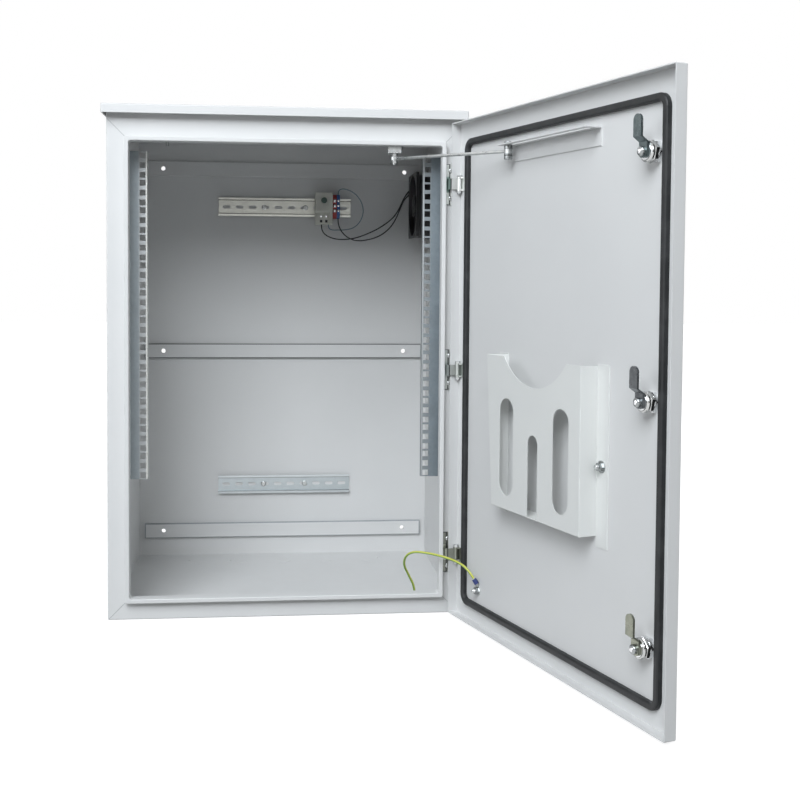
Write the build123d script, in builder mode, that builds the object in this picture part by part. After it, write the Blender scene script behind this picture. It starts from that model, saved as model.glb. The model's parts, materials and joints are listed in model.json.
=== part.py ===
from build123d import *
from math import cos, radians, sin, sqrt, tan
import os

os.makedirs("parts", exist_ok=True)

# Roadside utility cabinet, standing on its base with the door open.
# Millimetres: X to the right, Y from front to back, Z up, origin in the middle of the base.

# Cabinet body
body_width = 560.0
body_height = 800.0
body_depth = 412.0
sheet = 1.5
fold_radius = 2.0
front_y = -body_depth / 2
back_y = body_depth / 2
inner_x = body_width / 2 - sheet
back_inner_y = back_y - sheet

# Front frame and the raised lip round the opening
frame_side = 28.0
frame_bottom = 28.0
frame_top = 41.0
lip_width = 7.0
lip_rise = 11.0
lip_return = 8.0
lip_fold = 1.4
lip_corner = 4.0
lip_outer_width = body_width - 2 * frame_side
lip_outer_height = body_height - frame_bottom - frame_top
lip_inner_width = lip_outer_width - 2 * lip_width
lip_inner_height = lip_outer_height - 2 * lip_width
lip_middle_z = frame_bottom + lip_outer_height / 2
opening_top_z = lip_middle_z + lip_inner_height / 2
right_x = body_width / 2

# Roof cover on its spacers
roof_overhang = 6.0
roof_front_overhang = 18.0
roof_gap = 6.0
roof_lip = 14.0
roof_bolt_inset_x = 60.0
roof_bolt_inset_y = 56.0
roof_spacer_diameter = 16.0
roof_bolt_diameter = 6.0
roof_bolt_head = 13.0
roof_bolt_head_height = 3.5
roof_bolt_reach = 12.0

# Wall bolt holes and the three back strips
wall_hole = 8.5
bolt_inset_x = 47.5
bolt_inset_z = 50.0
strip_gap = 12.0
strip_height = 28.0
strip_depth = 6.0
strip_fold = 1.5
strip_names = ("bottom", "middle", "top")
bolt_spacing_x = body_width - 2 * bolt_inset_x
bolt_spacing_z = body_height - 2 * bolt_inset_z
strip_length = body_width - 2 * strip_gap
strip_heights = [body_height / 2 + step * bolt_spacing_z / 2 for step in (-1, 0, 1)]

# Floor knockouts and drain holes
knockout_count = 5
knockout_pitch = 80.0
knockout_diameter = 22.0
knockout_offset = 0.6
knockout_from_back = 60.0
drain_hole = 5.0
drain_positions = (-180.0, -102.0, 180.0)
drain_from_back = 50.0

# Rack rails with square holes in the three-hole pattern, the two hole lines 465.1 apart
rack_units = 12
rack_unit = 44.45
rack_hole_heights = (6.35, 22.225, 38.1)
rack_hole_inset = 45.95
rack_hole = 9.5
rack_sheet = 2.0
rack_edge = 8.0
rack_return = 10.0
rack_side_flange = 42.0
rack_setback = 70.0
rack_top_gap = 55.6
rack_height = rack_units * rack_unit
rack_bottom_z = body_height - rack_top_gap - rack_height
rack_front_y = front_y + rack_setback
rack_hole_x = inner_x - rack_hole_inset
rack_inner_x = rack_hole_x - rack_edge
rail_stud_diameter = 6.0
rail_stud_length = 12.0
rail_stud_from_front = 25.0
rail_stud_shares = (0.08, 0.36, 0.64, 0.92)
rail_stud_heights = [rack_bottom_z + rack_height * share for share in rail_stud_shares]

# Fasteners
small_clearance = 0.1
head_round_share = 0.6
stud_clearance = 0.3
nut_flats = 10.0
nut_height = 5.0

# Mounting rails, 35 by 7.5 hat section
hat_side_gap = 152.5
hat_width = 35.0
hat_web = 27.0
hat_depth = 7.5
hat_sheet = 1.0
hat_slot_share = 0.6
hat_slot_height = 6.2
hat_slot_count = 10
hat_end_share = 0.2
hat_upper_drop = 121.5
hat_lower_z = 139.5
hat_screw_spacing = 80.0
hat_screw_head = 10.0
hat_screw_head_height = 2.6
hat_front_y = back_inner_y - hat_depth
hat_upper_z = body_height - hat_upper_drop
hat_length = body_width - 2 * hat_side_gap
hat_slot_pitch = hat_length / (hat_slot_count + hat_end_share)
hat_slot_length = hat_slot_pitch * hat_slot_share

# Temperature controller and terminal blocks clipped on the upper rail
controller_width = 33.0
controller_height = 60.0
controller_depth = 42.0
controller_step = 5.0
controller_from_right = 206.0
controller_drop = 3.5
controller_step_share = 0.36
controller_front_share = 0.42
controller_edge = 1.5
dial_diameter = 11.0
dial_height = 4.0
dial_slot = 1.6
dial_slot_share = 0.7
dial_ring = 17.0
dial_ring_bore = 13.0
dial_ring_height = 1.2
dial_lift = 15.0
dial_shaft = 5.0
dial_shaft_length = 8.0
terminal_height = 45.0
terminal_depth = 36.0
terminal_chamfer = 8.0
terminal_rise = 1.0
terminal_screw_share = 0.3
terminal_red_width = 8.0
terminal_blue_width = 6.0
controller_x = right_x - controller_from_right
controller_z = hat_upper_z - controller_drop
terminal_z = hat_upper_z + terminal_rise

# Fan on the right wall
fan_size = 120.0
fan_depth = 38.0
fan_corner = 6.0
fan_flange = 5.0
fan_rim = 3.0
fan_wall = 3.0
fan_hole_inset = 7.5
fan_hole = 4.5
fan_from_back = 11.5
fan_top_gap = 60.0
fan_hub = 42.0
fan_carrier = 46.0
fan_carrier_depth = 5.0
fan_strut = 6.0
fan_shaft = 5.0
fan_tip_gap = 1.5
blade_count = 7
blade_thickness = 1.6
blade_root_chord = 26.0
blade_tip_chord = 27.0
blade_root_pitch = 42.0
blade_tip_pitch = 62.0
vent_slot = 5.0
vent_end_share = 0.2
vent_rows = 11
vent_rim = 6.0
fan_bore = fan_size - 2 * fan_rim
fan_hole_spacing = fan_size - 2 * fan_hole_inset
fan_y = back_inner_y - fan_from_back - fan_size / 2
fan_z = body_height - fan_top_gap - fan_size / 2
fan_inner_x = inner_x - fan_depth
vent_radius = fan_size / 2 - vent_rim
vent_pitch = 2 * vent_radius / (vent_rows - vent_end_share)

# Door, folded as a shallow pan and drawn closed
door_side_gap = 2.0
door_bottom_gap = 4.5
door_top_gap = 12.0
door_depth = 17.0
door_clearance = 3.0
door_open = 108.0
door_width = body_width - 2 * door_side_gap
door_height = body_height - door_bottom_gap - door_top_gap
door_middle_z = door_bottom_gap + door_height / 2
door_outer_y = front_y - door_clearance - door_depth
door_inner_y = door_outer_y + sheet

# Hinges: an arm from the frame, a bracket on the door and a headed pin
hinge_bottom_z = 100.0
hinge_top_drop = 108.0
hinge_names = ("bottom", "middle", "top")
hinge_top_z = body_height - hinge_top_drop
hinge_heights = (hinge_bottom_z, (hinge_bottom_z + hinge_top_z) / 2, hinge_top_z)
hinge_inset_x = 6.0
hinge_inset_y = 6.0
hinge_pin = 4.0
hinge_fit = 0.05
hinge_knuckle = 6.0
hinge_arm_height = 17.0
hinge_plate_height = 65.0
hinge_plate_width = 14.5
hinge_plate_gap = 0.5
hinge_sheet = 2.0
hinge_leg_gap = 2.0
hinge_drop = 1.5
hinge_screw_spacing = 44.0
hinge_screw = 4.0
hinge_screw_head = 7.0
hinge_screw_head_height = 2.4
hinge_screw_reach = 10.0
hinge_play = 0.3
bracket_sheet = 1.2
bracket_ear = 2.0
bracket_width = 16.0
pin_head_flats = 7.0
pin_head_height = 3.5
hinge_x = body_width / 2 - door_side_gap - hinge_inset_x
hinge_y = door_outer_y + hinge_inset_y
hinge_axis = Axis((hinge_x, hinge_y, 0), (0, 0, 1))

# Gasket
gasket_width = 10.0
gasket_height = 7.2
gasket_from_lip = 5.0
gasket_corner = 18.0
gasket_round = 3.0
gasket_side = lip_outer_width / 2 - gasket_from_lip + gasket_width / 2
gasket_bottom_z = frame_bottom + lip_width / 2 - gasket_width / 2
gasket_top_z = body_height - frame_top - lip_width / 2 + gasket_width / 2

# Cam locks
lock_inset = 52.0
lock_flange = 28.0
lock_flange_height = 3.0
lock_barrel = 22.0
lock_neck = 20.0
lock_length = 19.5
lock_thread = 9.0
lock_nut_flats = 24.0
lock_nut_height = 6.0
plug_diameter = 12.0
plug_play = 0.3
plug_square = 8.0
key_well = 8.6
key_depth = 7.0
key_pin = 3.4
key_wing = 6.6
key_wing_width = 1.8
cam_width = 15.0
cam_sheet = 3.0
cam_crank = 8.5
cam_crank_start = 11.0
cam_crank_run = 6.0
cam_reach = 43.5
cam_screw_head = 12.0
cam_screw_head_height = 5.0
cam_screw = 5.0
cam_screw_reach = 8.0
lock_x = -body_width / 2 + door_side_gap + lock_inset

# Door stay: bracket under the lip, bent rod and a slotted guide on the door
stay_from_right = 110.0
stay_from_front = 10.0
stay_bracket_width = 21.0
stay_bracket_height = 11.0
stay_bracket_depth = 18.0
stay_bracket_front = 2.0
stay_sheet = 2.2
stay_bolt = 5.0
stay_play = 0.4
stay_rod = 4.8
stay_eye = 12.0
stay_eye_height = 5.6
stay_spacer_height = 5.0
stay_nut_height = 4.0
stay_stub = 9.0
guide_start = 165.0
guide_length = 226.0
guide_from_lip = 16.0
guide_width = 28.0
guide_drop = 24.0
guide_slot_inset = 8.2
guide_slot_width = 6.8
guide_slot_line = 16.0
slider_bolt = 6.0
slider_head = 12.0
slider_head_height = 3.5
slider_collar_height = 5.2
slider_gap = 0.4
stay_x = right_x - stay_from_right
stay_y = front_y + stay_from_front
guide_top_z = opening_top_z - guide_from_lip

# Document pocket, folded sheet with a flange on each side
pocket_sheet = 1.0
pocket_depth = 27.0
pocket_left = 160.0
pocket_free_gap = 166.2
pocket_flare = 18.0
pocket_bottom_z = 210.5
pocket_top_z = 431.0
pocket_flange = 25.2
pocket_flange_bottom_z = 197.0
pocket_flange_top_z = 433.0
thumb_share = 0.705
thumb_depth = 39.0
window_bottom_z = 231.0
window_top_z = 371.0
window_left_share = 0.183
window_right_share = 0.801
window_width_share = 0.168
notch_middle_share = 0.496
notch_width_share = 0.115
notch_top_z = 326.6
pocket_stud_z = 302.0
pocket_stud_inset = 11.5
door_stud = 6.0
door_stud_length = 11.0
door_nut_height = 5.0
door_washer = 16.0
door_washer_height = 1.2
pocket_right = door_width - pocket_free_gap
pocket_width = pocket_right - pocket_left
window_left = pocket_left + pocket_width * window_left_share
window_right = pocket_left + pocket_width * window_right_share
window_width = pocket_width * window_width_share
notch_middle = pocket_left + pocket_width * notch_middle_share
notch_width = pocket_width * notch_width_share

# Earth studs, ring terminals and leads
earth_stud = 6.0
earth_stud_length = 16.0
earth_floor_from_right = 67.5
earth_floor_from_front = 54.0
earth_door_inset = 74.0
earth_door_z = 57.0
ring_sheet = 1.2
ring_diameter = 13.0
ring_neck = 6.6
ring_reach = 15.0
door_ring_reach = 11.0
barrel_diameter = 6.6
barrel_length = 10.0
earth_lead_diameter = 3.8
fan_lead_diameter = 2.3
jumper_diameter = 2.0
lead_bend_share = 0.45
earth_floor_x = right_x - earth_floor_from_right


def save(name, piece):
    piece.label = name
    export_step(piece, "parts/" + name + ".step")


def door_x(inset):
    # distance from the hinge edge of the door, given as X on the closed door
    return body_width / 2 - door_side_gap - inset


def swung(piece):
    # the closed door piece turned to its open rest position
    return piece.rotate(hinge_axis, door_open)


def from_front(distance):
    # vertical plane facing forward, this far behind the front frame
    return Plane.XZ.offset(-front_y - distance)


def door_plane(height):
    # vertical plane facing into the cabinet, this far inside the closed door's outer face
    return Plane((0, door_outer_y + height, 0), x_dir=(1, 0, 0), z_dir=(0, -1, 0))


def hexagon(flats):
    return RegularPolygon(flats / 2, 6, major_radius=False)


# Body shell: folded box with the raised lip, holes and weld studs
with BuildPart() as body_shell:
    with BuildSketch():
        Rectangle(body_width, body_depth)
    extrude(amount=body_height)
    fillet(body_shell.edges(), fold_radius)
    with BuildSketch(Plane.XY.offset(sheet)):
        Rectangle(body_width - 2 * sheet, body_depth - 2 * sheet)
    extrude(amount=body_height - 2 * sheet, mode=Mode.SUBTRACT)

    with BuildSketch(from_front(lip_return)):
        with Locations((0, lip_middle_z)):
            RectangleRounded(lip_outer_width, lip_outer_height, lip_corner)
    extrude(amount=lip_return + lip_rise)
    with BuildSketch(from_front(lip_return)):
        with Locations((0, lip_middle_z)):
            RectangleRounded(lip_inner_width, lip_inner_height, lip_corner)
    extrude(amount=lip_return + lip_rise, mode=Mode.SUBTRACT)
    fillet(body_shell.faces().sort_by(Axis.Y)[0].edges(), lip_fold)
    with BuildSketch(from_front(lip_return)):
        with Locations((0, lip_middle_z)):
            Rectangle(lip_outer_width - 2 * sheet, lip_outer_height - 2 * sheet)
            Rectangle(lip_inner_width + 2 * sheet, lip_inner_height + 2 * sheet, mode=Mode.SUBTRACT)
    extrude(amount=lip_return + lip_rise - sheet, mode=Mode.SUBTRACT)
    with BuildSketch(from_front(lip_return)):
        with Locations((0, lip_middle_z)):
            RectangleRounded(lip_outer_width, lip_outer_height, lip_corner)
            Rectangle(lip_inner_width + 2 * sheet, lip_inner_height + 2 * sheet, mode=Mode.SUBTRACT)
    extrude(amount=lip_return - sheet, mode=Mode.SUBTRACT)

    with BuildSketch():
        with Locations((0, back_inner_y - knockout_from_back)):
            with GridLocations(knockout_pitch, knockout_pitch, knockout_count, 1):
                Circle(knockout_diameter / 2)
    extrude(amount=knockout_offset, mode=Mode.SUBTRACT)
    with BuildSketch(Plane.XY.offset(sheet)):
        with Locations((0, back_inner_y - knockout_from_back)):
            with GridLocations(knockout_pitch, knockout_pitch, knockout_count, 1):
                Circle(knockout_diameter / 2)
    extrude(amount=knockout_offset)
    with BuildSketch():
        with Locations([(x, back_inner_y - drain_from_back) for x in drain_positions]):
            Circle(drain_hole / 2)
    extrude(amount=sheet, mode=Mode.SUBTRACT)

    with BuildSketch(Plane.XZ.offset(-back_y)):
        with Locations((0, body_height / 2)):
            with GridLocations(bolt_spacing_x, bolt_spacing_z / 2, 2, 3):
                Circle(wall_hole / 2)
    extrude(amount=sheet, mode=Mode.SUBTRACT)
    with BuildSketch(Plane.XY.offset(body_height)):
        with GridLocations(body_width - 2 * roof_bolt_inset_x, body_depth - 2 * roof_bolt_inset_y, 2, 2):
            Circle(roof_bolt_diameter / 2 + small_clearance)
    extrude(amount=-sheet, mode=Mode.SUBTRACT)

    with BuildSketch(Plane.YZ.offset(inner_x)):
        for row in range(vent_rows):
            rise = (row - (vent_rows - 1) / 2) * vent_pitch
            with Locations((fan_y, fan_z + rise)):
                SlotOverall(2 * sqrt(vent_radius**2 - rise**2), vent_slot)
        with Locations((fan_y, fan_z)):
            with GridLocations(fan_hole_spacing, fan_hole_spacing, 2, 2):
                Circle(fan_hole / 2)
    extrude(amount=sheet, mode=Mode.SUBTRACT)

    for side in (-1, 1):
        with BuildSketch(Plane.YZ.offset(side * inner_x)):
            with Locations([(rack_front_y + rail_stud_from_front, z) for z in rail_stud_heights]):
                Circle(rail_stud_diameter / 2)
        extrude(amount=-side * rail_stud_length)
    with BuildSketch(Plane.XY.offset(sheet)):
        with Locations((earth_floor_x, front_y + earth_floor_from_front)):
            Circle(earth_stud / 2)
    extrude(amount=earth_stud_length)

    plate_middle_x = lip_outer_width / 2 + hinge_plate_gap + hinge_plate_width / 2
    with BuildSketch(from_front(0)):
        for height in hinge_heights:
            with Locations((plate_middle_x, height)):
                with GridLocations(hinge_plate_width, hinge_screw_spacing, 1, 2):
                    Circle(hinge_screw / 2 + small_clearance)
    extrude(amount=-sheet, mode=Mode.SUBTRACT)
save("body_shell", body_shell.part)

# Roof cover with a turned-down lip on three sides, carried clear of the body top
roof_half_width = body_width / 2 + roof_overhang
roof_depth = body_depth + roof_front_overhang
roof_middle_y = (back_y + front_y - roof_front_overhang) / 2
roof_top_z = body_height + roof_gap + sheet
with BuildPart() as roof_cover:
    with BuildSketch(Plane.XY.offset(roof_top_z - roof_lip)):
        with Locations((0, roof_middle_y)):
            Rectangle(2 * roof_half_width, roof_depth)
    extrude(amount=roof_lip)
    rear_edges = roof_cover.faces().sort_by(Axis.Y)[-1].edges()
    top_edges = roof_cover.faces().sort_by(Axis.Z)[-1].edges()
    corner_edges = roof_cover.faces().sort_by(Axis.Y)[0].edges().filter_by(Axis.Z)
    fillet([edge for edge in top_edges + corner_edges if edge not in rear_edges], fold_radius)
    with BuildSketch(Plane.XY.offset(roof_top_z - roof_lip)):
        with Locations((0, roof_middle_y + sheet / 2)):
            Rectangle(2 * (roof_half_width - sheet), roof_depth - sheet)
    extrude(amount=roof_lip - sheet, mode=Mode.SUBTRACT)
    with BuildSketch(Plane.XY.offset(roof_top_z)):
        with GridLocations(body_width - 2 * roof_bolt_inset_x, body_depth - 2 * roof_bolt_inset_y, 2, 2):
            Circle(roof_bolt_diameter / 2 + small_clearance)
    extrude(amount=-sheet, mode=Mode.SUBTRACT)
save("roof_cover", roof_cover.part)

with BuildPart() as roof_spacers:
    with BuildSketch(Plane.XY.offset(body_height)):
        with GridLocations(body_width - 2 * roof_bolt_inset_x, body_depth - 2 * roof_bolt_inset_y, 2, 2):
            Circle(roof_spacer_diameter / 2)
            Circle(roof_bolt_diameter / 2 + small_clearance, mode=Mode.SUBTRACT)
    extrude(amount=roof_gap)
save("roof_spacers", roof_spacers.part)

with BuildPart() as roof_bolts:
    with BuildSketch(Plane.XY.offset(roof_top_z)):
        with GridLocations(body_width - 2 * roof_bolt_inset_x, body_depth - 2 * roof_bolt_inset_y, 2, 2):
            Circle(roof_bolt_head / 2)
    extrude(amount=roof_bolt_head_height)
    fillet(roof_bolts.edges().group_by(Axis.Z)[-1], roof_bolt_head_height * head_round_share)
    with BuildSketch(Plane.XY.offset(roof_top_z)):
        with GridLocations(body_width - 2 * roof_bolt_inset_x, body_depth - 2 * roof_bolt_inset_y, 2, 2):
            Circle(roof_bolt_diameter / 2)
    extrude(amount=-(sheet + roof_gap + sheet + roof_bolt_reach))
save("roof_bolts", roof_bolts.part)

# Back strips: shallow channels that stiffen the wall bolt holes
for strip_name, strip_z in zip(strip_names, strip_heights):
    with BuildPart() as strip:
        with BuildSketch(Plane.XZ.offset(-back_inner_y)):
            with Locations((0, strip_z)):
                Rectangle(strip_length, strip_height)
        extrude(amount=strip_depth)
        fillet(strip.faces().sort_by(Axis.Y)[0].edges().filter_by(Axis.X), strip_fold)
        with BuildSketch(Plane.XZ.offset(-back_inner_y)):
            with Locations((0, strip_z)):
                Rectangle(strip_length, strip_height - 2 * sheet)
        extrude(amount=strip_depth - sheet, mode=Mode.SUBTRACT)
        with BuildSketch(Plane.XZ.offset(-back_inner_y + strip_depth)):
            with Locations((0, strip_z)):
                with GridLocations(bolt_spacing_x, strip_height, 2, 1):
                    Circle(wall_hole / 2)
        extrude(amount=-strip_depth, mode=Mode.SUBTRACT)
    save("back_strip_" + strip_name, strip.part)

# Rack rails: a flat front flange with square holes, a side flange on studs and an inner return
with BuildPart() as rack_rail_right:
    with BuildSketch(Plane.XY.offset(rack_bottom_z)):
        with BuildLine():
            Polyline(
                (rack_inner_x, rack_front_y),
                (inner_x, rack_front_y),
                (inner_x, rack_front_y + rack_side_flange),
                (inner_x - rack_sheet, rack_front_y + rack_side_flange),
                (inner_x - rack_sheet, rack_front_y + rack_sheet),
                (rack_inner_x + rack_sheet, rack_front_y + rack_sheet),
                (rack_inner_x + rack_sheet, rack_front_y + rack_return),
                (rack_inner_x, rack_front_y + rack_return),
                close=True,
            )
        make_face()
    extrude(amount=rack_height)
    front_edges = rack_rail_right.faces().sort_by(Axis.Y)[0].edges().filter_by(Axis.Z)
    fillet(front_edges.sort_by(Axis.X)[0], rack_sheet)
    with BuildSketch(Plane.XZ.offset(-rack_front_y)):
        for unit in range(rack_units):
            for hole_height in rack_hole_heights:
                with Locations((rack_hole_x, rack_bottom_z + unit * rack_unit + hole_height)):
                    Rectangle(rack_hole, rack_hole)
    extrude(amount=-rack_sheet, mode=Mode.SUBTRACT)
    with BuildSketch(Plane.YZ.offset(inner_x)):
        with Locations([(rack_front_y + rail_stud_from_front, z) for z in rail_stud_heights]):
            Circle(rail_stud_diameter / 2 + stud_clearance)
    extrude(amount=-rack_sheet, mode=Mode.SUBTRACT)
save("rack_rail_right", rack_rail_right.part)

with BuildPart() as rack_rail_left:
    mirror(rack_rail_right.part, about=Plane.YZ)
save("rack_rail_left", rack_rail_left.part)

with BuildPart() as rail_nuts:
    for side in (-1, 1):
        with BuildSketch(Plane.YZ.offset(side * (inner_x - rack_sheet))):
            with Locations([(rack_front_y + rail_stud_from_front, z) for z in rail_stud_heights]):
                hexagon(nut_flats)
                Circle(rail_stud_diameter / 2 + small_clearance, mode=Mode.SUBTRACT)
        extrude(amount=-side * nut_height)
save("rail_nuts", rail_nuts.part)

# Slotted hat-section mounting rails on the back wall
hat_slots_x = [(step - (hat_slot_count - 1) / 2) * hat_slot_pitch for step in range(hat_slot_count)]
for rail_name, rail_z in (("upper", hat_upper_z), ("lower", hat_lower_z)):
    with BuildPart() as mounting_rail:
        with BuildSketch(Plane((-hat_length / 2, back_inner_y, rail_z), x_dir=(0, -1, 0), z_dir=(1, 0, 0))):
            with BuildLine():
                Polyline(
                    (0, 0),
                    (0, hat_web / 2),
                    (hat_depth - hat_sheet, hat_web / 2),
                    (hat_depth - hat_sheet, hat_width / 2),
                    (hat_depth, hat_width / 2),
                    (hat_depth, hat_web / 2 - hat_sheet),
                    (hat_sheet, hat_web / 2 - hat_sheet),
                    (hat_sheet, 0),
                )
                mirror(about=Plane.XZ)
            make_face()
        extrude(amount=hat_length)
        with BuildSketch(Plane.XZ.offset(-back_inner_y)):
            with Locations([(x, rail_z) for x in hat_slots_x]):
                SlotOverall(hat_slot_length, hat_slot_height)
        extrude(amount=hat_sheet, mode=Mode.SUBTRACT)
    save("mounting_rail_" + rail_name, mounting_rail.part)

with BuildPart() as rail_screws:
    for rail_z in (hat_upper_z, hat_lower_z):
        with BuildSketch(Plane.XZ.offset(-back_inner_y + hat_sheet)):
            with Locations((-hat_screw_spacing / 2, rail_z), (hat_screw_spacing / 2, rail_z)):
                Circle(hat_screw_head / 2)
        extrude(amount=hat_screw_head_height)
    head_edges = rail_screws.edges().filter_by(GeomType.CIRCLE).group_by(Axis.Y)[0]
    fillet(head_edges, hat_screw_head_height * head_round_share)
save("rail_screws", rail_screws.part)

# Temperature controller, stepped down over its terminals
controller_right_x = controller_x + controller_width / 2
controller_front_y = hat_front_y - controller_depth
controller_bottom_z = controller_z - controller_height / 2
dial_z = controller_z + dial_lift
controller_step_z = controller_bottom_z + controller_height * controller_step_share
controller_edge_z = controller_bottom_z + controller_height * controller_front_share
with BuildPart() as temperature_controller:
    with BuildSketch(Plane.YZ.offset(controller_right_x - controller_width)):
        with BuildLine():
            Polyline(
                (hat_front_y, controller_bottom_z),
                (controller_front_y + controller_step, controller_bottom_z),
                (controller_front_y + controller_step, controller_step_z),
                (controller_front_y, controller_edge_z),
                (controller_front_y, controller_bottom_z + controller_height),
                (hat_front_y, controller_bottom_z + controller_height),
                close=True,
            )
        make_face()
    extrude(amount=controller_width)
    fillet(temperature_controller.faces().sort_by(Axis.Y)[0].edges(), controller_edge)
    with BuildSketch(Plane.XZ.offset(-controller_front_y)):
        with Locations((controller_x, dial_z)):
            Circle(dial_ring / 2)
            Circle(dial_ring_bore / 2, mode=Mode.SUBTRACT)
    extrude(amount=dial_ring_height)
    with BuildSketch(Plane.XZ.offset(-controller_front_y)):
        with Locations((controller_x, dial_z)):
            Circle(dial_shaft / 2 + stud_clearance)
    extrude(amount=-dial_shaft_length, mode=Mode.SUBTRACT)
save("temperature_controller", temperature_controller.part)

with BuildPart() as controller_dial:
    with BuildSketch(Plane.XZ.offset(-controller_front_y + stud_clearance)):
        with Locations((controller_x, dial_z)):
            Circle(dial_diameter / 2)
    extrude(amount=dial_height)
    fillet(controller_dial.edges().group_by(Axis.Y)[0], dial_height / 4)
    with BuildSketch(Plane.XZ.offset(-controller_front_y + stud_clearance + dial_height)):
        with Locations((controller_x, dial_z)):
            Rectangle(dial_slot, dial_diameter * dial_slot_share)
    extrude(amount=-dial_height / 3, mode=Mode.SUBTRACT)
    with BuildSketch(Plane.XZ.offset(-controller_front_y + stud_clearance)):
        with Locations((controller_x, dial_z)):
            Circle(dial_shaft / 2)
    extrude(amount=-(dial_shaft_length - stud_clearance))
save("controller_dial", controller_dial.part)

# Terminal blocks beside the controller
terminal_front_y = hat_front_y - terminal_depth
terminal_rows = (
    ("terminal_red", controller_right_x, terminal_red_width),
    ("terminal_blue", controller_right_x + terminal_red_width, terminal_blue_width),
)
for terminal_name, terminal_left_x, terminal_width in terminal_rows:
    with BuildPart() as terminal:
        with BuildSketch(Plane.YZ.offset(terminal_left_x)):
            with Locations(((hat_front_y + terminal_front_y) / 2, terminal_z)):
                Rectangle(terminal_depth, terminal_height)
        extrude(amount=terminal_width)
        chamfer(terminal.faces().sort_by(Axis.Y)[0].edges().filter_by(Axis.X), terminal_chamfer)
        with BuildSketch(Plane.XZ.offset(-terminal_front_y)):
            with Locations((terminal_left_x + terminal_width / 2, terminal_z)):
                with GridLocations(terminal_width, terminal_height / 3, 1, 2):
                    Circle(terminal_width * terminal_screw_share)
        extrude(amount=-terminal_chamfer / 2, mode=Mode.SUBTRACT)
    save(terminal_name, terminal.part)

# Fan housing: two square flanges joined by a round duct, with the motor carrier on struts
with BuildPart() as fan_frame:
    with BuildSketch(Plane.YZ.offset(fan_inner_x), Plane.YZ.offset(inner_x - fan_flange)):
        with Locations((fan_y, fan_z)):
            RectangleRounded(fan_size, fan_size, fan_corner)
            with GridLocations(fan_hole_spacing, fan_hole_spacing, 2, 2):
                Circle(fan_hole / 2, mode=Mode.SUBTRACT)
    extrude(amount=fan_flange)
    with BuildSketch(Plane.YZ.offset(fan_inner_x)):
        with Locations((fan_y, fan_z)):
            Circle(fan_bore / 2 + fan_wall)
    extrude(amount=fan_depth)
    with BuildSketch(Plane.YZ.offset(fan_inner_x)):
        with Locations((fan_y, fan_z)):
            Circle(fan_bore / 2)
    extrude(amount=fan_depth, mode=Mode.SUBTRACT)
    with BuildSketch(Plane.YZ.offset(inner_x - fan_carrier_depth)):
        with Locations((fan_y, fan_z)):
            Circle(fan_carrier / 2)
            Rectangle(fan_bore + fan_wall, fan_strut)
            Rectangle(fan_strut, fan_bore + fan_wall)
            Circle(fan_shaft / 2 + hinge_fit, mode=Mode.SUBTRACT)
    extrude(amount=fan_carrier_depth)
save("fan_frame", fan_frame.part)

# Fan rotor: hub, shaft and twisted blades
rotor_depth = fan_depth - fan_carrier_depth - 2 * fan_tip_gap
rotor_middle_x = fan_inner_x + fan_tip_gap + rotor_depth / 2
blade_sections = (
    (fan_hub / 2 - fan_tip_gap, blade_root_chord, blade_root_pitch),
    (fan_bore / 2 - fan_tip_gap, blade_tip_chord, blade_tip_pitch),
)
with BuildPart() as blade:
    for blade_radius, blade_chord, blade_pitch in blade_sections:
        chord_direction = (cos(radians(blade_pitch)), sin(radians(blade_pitch)), 0)
        with BuildSketch(Plane((rotor_middle_x, fan_y, fan_z + blade_radius), chord_direction, (0, 0, 1))):
            Rectangle(blade_chord, blade_thickness)
    loft()
fan_axis = Axis((0, fan_y, fan_z), (1, 0, 0))
with BuildPart() as fan_rotor:
    with BuildSketch(Plane.YZ.offset(fan_inner_x + fan_tip_gap)):
        with Locations((fan_y, fan_z)):
            Circle(fan_hub / 2)
    extrude(amount=rotor_depth)
    fillet(fan_rotor.edges().group_by(Axis.X)[0], fan_tip_gap)
    for turn in range(blade_count):
        add(blade.part.rotate(fan_axis, turn * 360 / blade_count))
    with BuildSketch(Plane.YZ.offset(fan_inner_x + fan_tip_gap + rotor_depth)):
        with Locations((fan_y, fan_z)):
            Circle(fan_shaft / 2)
    extrude(amount=fan_tip_gap + fan_carrier_depth - stud_clearance)
save("fan_rotor", fan_rotor.part)

with BuildPart() as fan_screws:
    with BuildSketch(Plane.YZ.offset(body_width / 2)):
        with Locations((fan_y, fan_z)):
            with GridLocations(fan_hole_spacing, fan_hole_spacing, 2, 2):
                Circle(fan_hole)
    extrude(amount=fan_hole / 2)
    fillet(fan_screws.edges().group_by(Axis.X)[-1], fan_hole / 3)
    with BuildSketch(Plane.YZ.offset(body_width / 2)):
        with Locations((fan_y, fan_z)):
            with GridLocations(fan_hole_spacing, fan_hole_spacing, 2, 2):
                Circle(fan_hole / 2 - small_clearance)
    extrude(amount=-(sheet + fan_flange + fan_hole))
save("fan_screws", fan_screws.part)

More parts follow.
